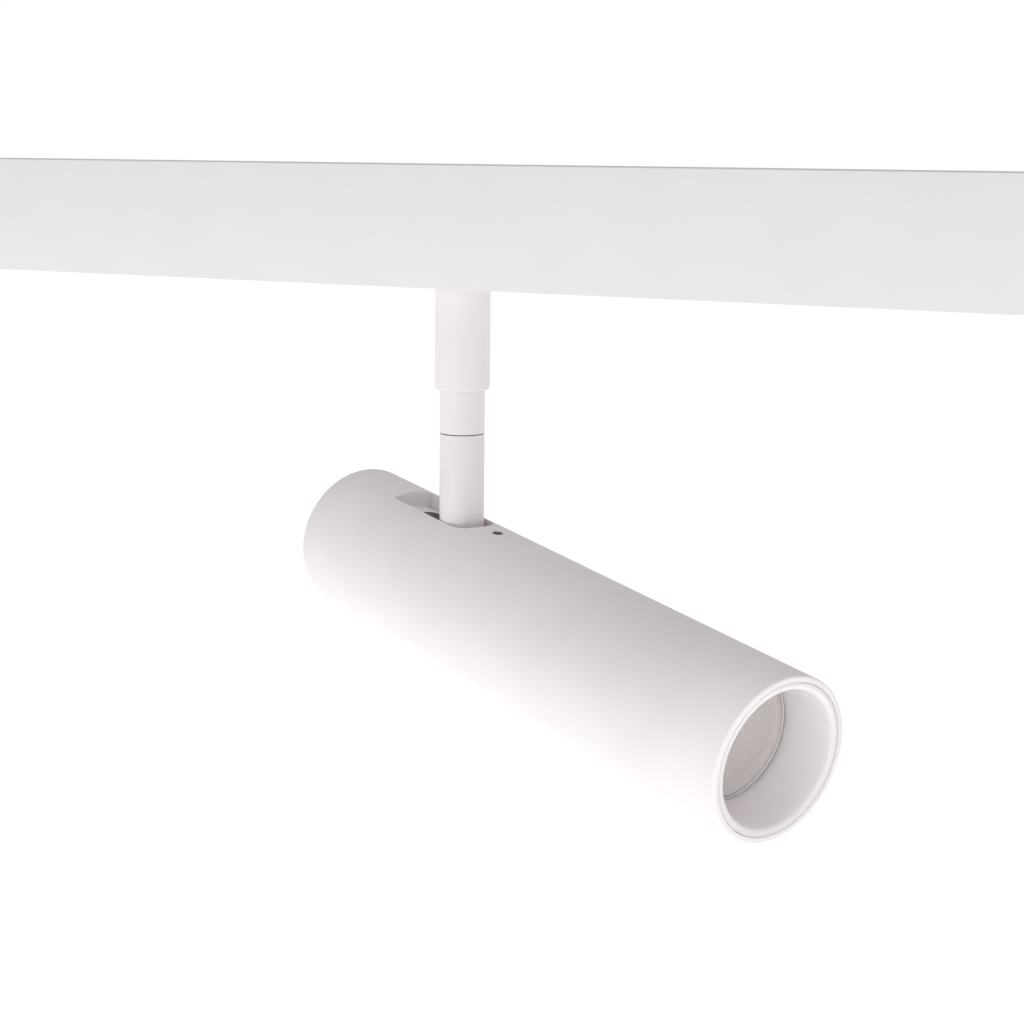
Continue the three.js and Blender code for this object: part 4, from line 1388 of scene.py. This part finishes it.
@dataclass
class Head(HeadPart):
    """The tube, its rear cap and the block it tilts on."""

    thick_bore: float = 16.7
    thin_bore: float = 19.5
    bore_step: float = 26.0
    front_edge: float = 0.5
    seam: float = 0.05
    seam_edge: float = 0.12
    slot_width: float = 13.4
    slot_front: float = 9.26
    pocket_rear: float = -19.44
    pocket_floor: float = -13.0
    cap_wall: float = 3.8
    cap_edge: float = 0.9
    grub_at: float = 15.56
    grub_hole: float = 1.5
    pin_bore: float = 2.05
    wire_way: float = 3.0

    def shell(self) -> None:
        """Turns the tube and the rear cap, mills the slot and drills for the grub screw."""
        box, cap = self.spans("main_tube", "rear_cap")
        radius = box.size.y / 2
        seam = (box.low.x + cap.high.x) / 2
        rear = seam + self.seam / 2
        rings = [(radius, x) for x in range(-24, 20, 2)]
        tube = self.lathe("spot_tube", [
            (self.thick_bore, rear), (radius, rear, self.seam_edge), *rings,
            (radius, box.high.x, self.front_edge), (self.thin_bore, box.high.x, 0.1),
            (self.thin_bore, self.bore_step + 2), (self.thick_bore, self.bore_step)], 192)
        slot = swept("slot", oblong(self.slot_width, rear - 20, self.slot_front), Axis.Z, 0, radius)
        hole = stick(self.grub_hole, 0, radius, at=(self.grub_at, 0, 0))
        carve(tube, slot, hole)
        self.fit(tube, HEAD_PAINT, "main_tube")
        # painted shade: the walls of the grub hole in the tube get the darker grey
        self.paint_recess_shade(tube, self.drilling())
        front = seam - self.seam / 2
        self.fit(self.lathe("spot_rear_cap", [
            (0, cap.low.x), (radius, cap.low.x, self.cap_edge), (radius, front, self.seam_edge),
            (self.thick_bore, front), (self.thick_bore, cap.low.x + self.cap_wall, 0.8),
            (0, cap.low.x + self.cap_wall)], 192), HEAD_PAINT, "rear_cap")

    def pivot(self) -> None:
        """Mills the block with its pocket, and adds the pin, its washers and the grub screw."""
        box, seal = self.spans("pivot_block", "cap_seal")
        radius = self.thick_bore - 0.02
        groove, ring = seal.size.x / 2 + 0.2, seal.middle.x
        block_piece = self.lathe("pivot_block_body", [
            (0, box.low.x), (radius, box.low.x, 0.6), (radius, ring - groove, 0.15),
            (radius - 1.4, ring - groove, 0.2), (radius - 1.4, ring + groove, 0.2),
            (radius, ring + groove, 0.15), (radius, box.high.x, 0.6), (0, box.high.x)])
        pocket = swept("pocket", oblong(self.slot_width, self.pocket_rear, self.slot_front), Axis.Z,
                       self.pocket_floor, radius)
        pin, washer = self.spans("pivot_pin", "spring_washer_front")
        seat = abs(washer.low.y) + 0.3
        tools = [pocket, stick(self.pin_bore, -radius, radius, Axis.Y),
                 stick(washer.size.z / 2 + 0.3, -seat, seat, Axis.Y),
                 stick(self.wire_way, 0, box.high.x + 1, Axis.X, (0, 0, -3)),
                 stick(self.grub_hole, 4.2, radius, at=(self.grub_at, 0, 0))]
        self.fit(carve(block_piece, *tools), HEAD_PAINT, "pivot_block")
        # painted shade: the walls of the pocket and the grub hole in the block get the darker grey
        self.paint_recess_shade(block_piece, self.pocket(), self.drilling())
        half, pin_radius = pin.high.y, pin.size.z / 2
        bar = section(0, pin_radius, -half, half, 0, 0.4, 0.4, 0)
        self.fit(turned("tilt_pin", bar, Axis.Y), CROSS_STEEL, "pivot_pin")
        for side, word in ((-1, "front"), (1, "rear")):
            dish, outer = self.slot_width / 2 + 0.3, washer.size.z / 2
            rim = [(pin_radius + 0.2, side * dish), (outer, side * (dish + 0.3)),
                   (outer, side * (dish + 0.9)), (pin_radius + 0.2, side * (dish + 0.6))]
            self.fit(turned(f"dished_washer_{word}", rim, Axis.Y), CROSS_STEEL,
                     f"spring_washer_{word}")
        mean = seal.size.y / 2 - 0.72
        cord = section(mean - 0.7, mean + 0.7, ring - 0.7, ring + 0.7, 0.69)
        self.fit(self.lathe("cap_o_ring", cord), NITRILE, "cap_seal")
        grub = self.span("grub_screw")
        size, low, high = grub.size.y / 2, grub.low.z, grub.high.z
        at = Vector((self.grub_at, 0, 0))
        screw = turned("tilt_grub_screw", [
            (0, low), (size - 0.4, low), (size - 0.12, low + 0.4), (size - 0.12, high, 0.15),
            (0, high)], at=at, facets=48)
        weld(screw, thread(size + 0.1, 0.22, 0.5, low + 0.5, 7, at=at))
        carve(screw, stick(0.75, high - 1.4, high + 1, at=at, facets=6))
        self.fit(screw, BLACK_STEEL, "grub_screw")

    def pocket(self) -> Span:
        """Finds the pocket that the stem's foot swings in.

        Returns:
            Its space, in the head's frame.
        """
        half, more = self.slot_width / 2 + 0.05, 0.05
        return Span(Vector((self.pocket_rear - more, -half, self.pocket_floor - more)),
                    Vector((self.slot_front + more, half, self.span("pivot_block").size.z)))

    def drilling(self) -> Span:
        """Finds the hole for the grub screw.

        Returns:
            Its space, in the head's frame.
        """
        reach = self.grub_hole + 0.05
        return Span(Vector((self.grub_at - reach, -reach, 0)),
                    Vector((self.grub_at + reach, reach, self.span("pivot_block").size.z)))

    def paint_recess_shade(self, piece: bpy.types.Object, *spaces: Span) -> None:
        """Paints the upright walls in some spaces a darker grey: painted shade that stands for the depth
        of these recesses.

        Args:
            piece: The finished piece.
            spaces: The spaces, in the head's frame.
        """
        piece.data.materials.append(RECESS_SHADE_GREY.material(self.place))
        inverse = self.place.inverted()
        for polygon in piece.data.polygons:
            middle = inverse @ (polygon.center / MM)
            upright = abs((inverse.to_3x3() @ polygon.normal).z) < UPRIGHT
            inside = any(space.holds(middle) for space in spaces)
            polygon.material_index = int(inside and upright)

    def build(self) -> None:
        """Builds the head's shell and pivot."""
        self.shell()
        self.pivot()


@dataclass
class LightEngine(HeadPart):
    """The heat sink, the light source, the lens and the front trim."""

    core: float = 7.0
    fin: float = 1.6
    fin_pitch: float = 5.2
    plate: float = 7.0
    screw_at: float = 10.8
    tapped_hole: float = 1.35
    clear_hole: float = 1.6
    wire_way: float = 2.5
    holder_bore: float = 6.5
    pillow_pitch: float = 0.95
    pillow_rise: float = 0.21
    pillow_root: float = 0.5
    pillow_steps: tuple[float, ...] = (0.3, 0.55, 0.8)
    lens_radii: tuple[float, float] = (5.6, 13.6)
    lens_steps: int = 10
    lens_ledge: float = 14.3
    mouth: float = 17.5
    throat: float = 16.3
    lip: float = 1.1
    trim_radius: float = 19.4

    def heat_sink(self) -> None:
        """Turns the sink with all its fins, and drills it."""
        box = self.span("heat_sink")
        rear, front, radius = box.low.x, box.high.x, box.size.y / 2
        outline = [(0.0, rear)]
        count = int((front - self.plate - rear) / self.fin_pitch)
        for i in range(count):
            x = rear + i * self.fin_pitch
            outline += [(self.core, x), (radius, x, 0.25), (radius, x + self.fin, 0.25),
                        (self.core, x + self.fin)]
        outline += [(self.core, front - self.plate), (radius, front - self.plate, 0.3),
                    (radius, front, 0.3), (0, front)]
        sink = self.lathe("finned_heat_sink", outline, 96)
        low = self.axis
        holes = [stick(self.tapped_hole, front - 6, front + 1, Axis.X,
                       low + Vector((0, side * self.screw_at, 0)))
                 for side in (-1, 1)]
        way = stick(self.wire_way, rear - 1, front + 1, Axis.X, low)
        notch = block("notch", low + Vector((front - self.plate - 1, -1.5, 7.6)),
                      low + Vector((front + 1, 1.5, 9.6)))
        self.fit(carve(sink, *holes, way, notch), FINNED_ALUMINIUM, "heat_sink")

    def source(self) -> None:
        """Builds the light source, its holder ring and the two screws."""
        board, glow = self.spans("led_board", "led_emitter")
        low, half = self.axis, board.size.y / 2
        corners = section(low.y - half, low.y + half, low.z - half, low.z + half, 0.6)
        plate = swept("source_substrate", corners, Axis.X, board.low.x, board.high.x)
        self.fit(soften(plate, 0.1, 2), ALUMINA, "led_board")
        corners = section(half - 3.4, half - 0.7, half - 1.4, half - 3.2, 0.3)
        pad = swept("source_pads", corners, Axis.X, board.high.x - 0.05, board.high.x + 0.08)
        half_turn = Matrix.Rotation(math.pi, 4, "X")
        self.fit(repeated(pad, [Matrix.Translation(low), Matrix.Translation(low) @ half_turn]),
                 ROLLED_COPPER)
        radius, rear, face = glow.size.y / 2, glow.low.x, glow.high.x
        self.fit(self.lathe("phosphor_disc", [
            (0, rear), (radius - 0.5, rear), (radius - 0.5, face - 0.25), (radius * 0.6, face - 0.1),
            (0, face - 0.05)], 96), PHOSPHOR_GEL, "led_emitter")
        dam = section(radius - 0.48, radius, rear, face, 0.1, 0.1, 0.2, 0.2)
        self.fit(self.lathe("source_dam", dam, 96), ALUMINA)
        holder = self.span("led_holder")
        rear, face, outer = holder.low.x, holder.high.x, holder.size.y / 2
        ring = self.lathe("source_holder", [
            (self.holder_bore, rear), (outer, rear, 0.3), (outer, face, 0.5),
            (self.holder_bore + 1.8, face, 0.3), (self.holder_bore, rear + 0.6, 0.1)], 96)
        sides = [Vector((0, side * self.screw_at, 0)) for side in (-1, 1)]
        holes = [stick(self.clear_hole, rear - 1, face + 1, Axis.X, low + side) for side in sides]
        springs = [block("spring", low + Vector((rear + 1.2, y - 1, 8)),
                         low + Vector((face + 1, y + 1, 11.6))) for y in (-3.4, 3.4)]
        self.fit(carve(ring, *holes, *springs), WHITE_PLASTIC, "led_holder")
        for word, side in zip(("front", "rear"), sides):
            box, at = self.span(f"led_screw_{word}"), low + side
            seat, head = box.high.x - 1.5, box.size.y / 2
            screw = turned(f"source_screw_{word}", [
                (0, box.low.x), (0.7, box.low.x), (1.05, box.low.x + 0.5), (1.05, seat), (head, seat),
                (head, box.high.x, 0.9), (0, box.high.x)], Axis.X, at, 48)
            weld(screw, thread(1.3, 0.25, 0.5, box.low.x + 0.6, 14, Axis.X, at))
            cut_cross(screw, Vector((box.high.x, at.y, at.z)), 0.8, 1.3, 0.28)
            self.fit(screw, ZINC_STEEL, f"led_screw_{word}")

    def pillows(self, radius: float, face: float) -> bpy.types.Object:
        """Models one six-sided pillow by insets, and repeats it in a honeycomb.

        Args:
            radius: How far from the axis the honeycomb reaches.
            face: Where its foot is.

        Returns:
            The sheet of pillows, extruded into a slab.
        """
        deselect()
        corner, pitch = self.pillow_pitch / math.sqrt(3), self.pillow_pitch
        bpy.ops.mesh.primitive_circle_add(vertices=6, radius=corner, fill_type="NGON",
                                          enter_editmode=True, location=(0, 0, 0))
        sheet = bpy.context.object
        sheet.name = "honeycomb"
        reached, height = 0.0, 0.0
        for share in self.pillow_steps:
            rise = self.pillow_rise * (1 - (1 - share) ** 2)
            bpy.ops.mesh.inset(thickness=(share - reached) * pitch / 2, depth=0)
            bpy.ops.transform.translate(value=(0, 0, rise - height))
            reached, height = share, rise
        bpy.ops.object.mode_set(mode="OBJECT")
        row = pitch * math.sqrt(3) / 2
        count = 2 * int(radius / pitch) + 4
        pairs = int(radius / row) + 2
        for number, step in ((count, (pitch, 0, 0)), (2, (pitch / 2, row, 0)), (pairs, (0, 2 * row, 0))):
            modify(sheet, "ARRAY", count=number, use_relative_offset=False, use_constant_offset=True,
                   constant_offset_displace=step, use_merge_vertices=True, merge_threshold=MERGE)
        middle = Vector((-count // 2 * pitch, -pairs * row, 0))
        move(sheet, Matrix.Translation(middle))
        for polygon in sheet.data.polygons:
            home = Vector((round(polygon.center.x, 3), round(polygon.center.y, 3)))
            polygon.select = home.length > radius
        bpy.ops.object.mode_set(mode="EDIT")
        bpy.ops.mesh.select_mode(type="FACE")
        bpy.ops.mesh.delete(type="FACE")
        bpy.ops.mesh.select_all(action="SELECT")
        bpy.ops.mesh.extrude_region_move(
            TRANSFORM_OT_translate={"value": (0, 0, -self.pillow_root)})
        face_out()
        upright = Matrix.Rotation(math.pi / 2, 4, "Y")
        return move(sheet, Matrix.Translation(self.axis + Vector((face, 0, 0))) @ upright)

    def lens(self) -> None:
        """Turns the collimator with its curved side, and presses the honeycomb into its face."""
        box = self.span("lens")
        rear, face, flange = box.low.x, box.high.x, box.size.y / 2
        (foot, body), steps, shoulder = self.lens_radii, self.lens_steps, face - 1.5
        curve = [(foot + (body - foot) * math.sin(math.pi / 2 * i / steps) ** 0.9,
                  rear + (shoulder - rear) * i / steps) for i in range(steps)]
        piece = self.lathe("collimator_lens", [
            (0, rear + 5), (1.8, rear + 4.8), (3.3, rear + 4), (3.8, rear, 0.1), *curve,
            (body, shoulder), (flange, shoulder, 0.2), (flange, face, 0.3), (body + 0.2, face, 0.2),
            (body, face - 0.3, 0.1), (0, face - 0.3)])
        self.fit(weld(piece, self.pillows(body - 0.9, face - 0.29)), CLEAR_ACRYLIC, "lens")

    def trim(self) -> None:
        """Turns the cup that centres the lens and the tapered front trim."""
        box, lens = self.spans("lens_cup", "lens")
        rear, face, outer = box.low.x, box.high.x, box.size.y / 2
        bore, ledge, shoulder = self.throat, self.lens_ledge, lens.high.x - 1.7
        self.fit(self.lathe("lens_seat", [
            (bore, rear, 0.2), (outer, rear, 0.3), (outer, face, 0.2), (bore, face, 0.3),
            (bore, shoulder, 0.1), (ledge, shoulder, 0.2), (ledge, shoulder - 1.2, 0.2),
            (bore, shoulder - 2.6)]), WHITE_PLASTIC, "lens_cup")
        box = self.span("baffle")
        rear, front, outer = box.low.x, box.high.x, self.trim_radius
        self.fit(self.lathe("front_trim", [
            (self.throat, rear, 0.15), (outer, rear, 0.3), (outer, front, 0.15),
            (self.mouth, front, self.lip)], 192), MATT_TRIM, "baffle")

    def build(self) -> None:
        """Builds the light engine."""
        self.heat_sink()
        self.source()
        self.lens()
        self.trim()


# ------------------------------------------------------------------ the studio


@dataclass
class Studio:
    """A pale floor far below, a soft lamp at the front left, a small spot and a camera."""

    lens: float = 67.5
    sensor: float = 36.0
    nearest: float = 10.0
    camera_place: tuple[float, float, float] = (244.25, -471.10, 3.63)
    camera_heading: float = 25.88
    camera_pitch: float = -10.64
    camera_roll: float = 0.58
    floor_drop: float = 3000.0
    floor_side: float = 100000.0
    floor_tone: str = "f2f2f2"
    floor_roughness: float = 0.9
    floor_glow: float = 0.62
    backdrop: str = "ffffff"
    sky: float = 0.60
    sky_tone: str = "f4eff3"
    lamp_tone: str = "f3f6f7"
    lamp_watts: float = 5.7
    lamp_size: float = 1200.0
    lamp_place: tuple[float, float, float] = (-420.0, -1690.0, -260.0)
    spot_watts: float = 4.6
    spot_direction: tuple[float, float, float] = (0.663, -0.744, 0.086)
    spot_distance: float = 600.0
    spot_angle: float = 5.0
    spot_radius: float = 12.0
    spot_blend: float = 0.8

    def place_camera(self) -> None:
        """Sets the camera just above the track's top, looking down and across at the head."""
        deselect()
        bpy.ops.object.camera_add()
        camera = bpy.context.object
        camera.data.lens = self.lens
        camera.data.sensor_width = self.sensor
        camera.data.clip_start = self.nearest * MM
        camera.matrix_world = (
            Matrix.Translation(Vector(self.camera_place) * MM)
            @ Matrix.Rotation(math.radians(self.camera_heading), 4, "Z")
            @ Matrix.Rotation(math.radians(90 + self.camera_pitch), 4, "X")
            @ Matrix.Rotation(math.radians(self.camera_roll), 4, "Z"))
        bpy.context.scene.camera = camera

    def add_light(self, kind: str, place: Vector, aim: Vector, watts: float) -> bpy.types.Light:
        """Adds a lamp.

        Args:
            kind: Blender's name for this kind of lamp.
            place: Where it stands, in metres.
            aim: The direction from what it lights back to the lamp.
            watts: Its power.

        Returns:
            The lamp's settings.
        """
        bpy.ops.object.light_add(type=kind, location=place,
                                 rotation=aim.to_track_quat("Z", "Y").to_euler())
        light = bpy.context.object.data
        light.energy = watts
        return light

    def place_lamp(self) -> None:
        """Sets one large soft lamp at the front left, turned to the head."""
        place = Vector(self.lamp_place) * MM
        lamp = self.add_light("AREA", place, place, self.lamp_watts)
        lamp.size = self.lamp_size * MM
        lamp.color = linear(self.lamp_tone)[:3]

    def place_spot(self) -> None:
        """Aims a narrow soft spot into the mouth, so that the bore and the lens can be seen."""
        low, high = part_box("baffle")
        aim = Vector(self.spot_direction).normalized()
        place = (low + high) / 2 + aim * self.spot_distance * MM
        spot = self.add_light("SPOT", place, aim, self.spot_watts)
        spot.spot_size = math.radians(self.spot_angle)
        spot.spot_blend = self.spot_blend
        spot.shadow_soft_size = self.spot_radius * MM

    def light_sky(self) -> None:
        """Gives the room a plain pale light, and shows it as white behind the object."""
        world = bpy.data.worlds.new("room")
        world.use_nodes = True
        bpy.context.scene.world = world
        tree = world.node_tree
        tree.nodes.clear()
        seen = add_node(tree, "Background", {"Color": linear(self.backdrop)})
        lit = add_node(tree, "Background", {"Color": linear(self.sky_tone), "Strength": self.sky})
        camera_ray = add_node(tree, "LightPath").outputs["Is Camera Ray"]
        mix = add_node(tree, "MixShader", links={0: camera_ray, 1: lit.outputs[0], 2: seen.outputs[0]})
        add_node(tree, "OutputWorld", links={0: mix.outputs[0]})

    def lay_floor(self) -> None:
        """Lays the pale floor."""
        deselect()
        bpy.ops.mesh.primitive_plane_add(
            size=self.floor_side * MM, location=(0, 0, -self.floor_drop * MM))
        floor = bpy.context.object
        floor.name = "floor"
        material = bpy.data.materials.new("pale_floor")
        material.use_nodes = True
        set_values(material.node_tree.nodes["Principled BSDF"], {
            "Base Color": linear(self.floor_tone), "Roughness": self.floor_roughness,
            "Emission Color": linear(self.backdrop), "Emission Strength": self.floor_glow})
        floor.data.materials.append(material)

    def set_up(self) -> None:
        """Places everything that isn't part of the object."""
        bpy.context.scene.view_settings.view_transform = "Standard"
        self.place_camera()
        self.place_lamp()
        self.place_spot()
        self.light_sky()
        self.lay_floor()


def main() -> None:
    """Builds the sub-assemblies in order, from the ceiling down."""
    logging.basicConfig(level=logging.INFO, format="%(name)s: %(message)s")
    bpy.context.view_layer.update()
    Studio().set_up()
    level = tilt_frame(MODELLED_TILT)
    swivel = Matrix.Rotation(math.radians(MODELLED_SWIVEL), 4, "Z")
    for part in (Track("track"), Adapter("adapter"), Lock("lock"), Contacts("contacts"),
                 Stem("stem", swivel), Head("head", level), LightEngine("head", level)):
        part.build()


if __name__ == "__main__":
    main()
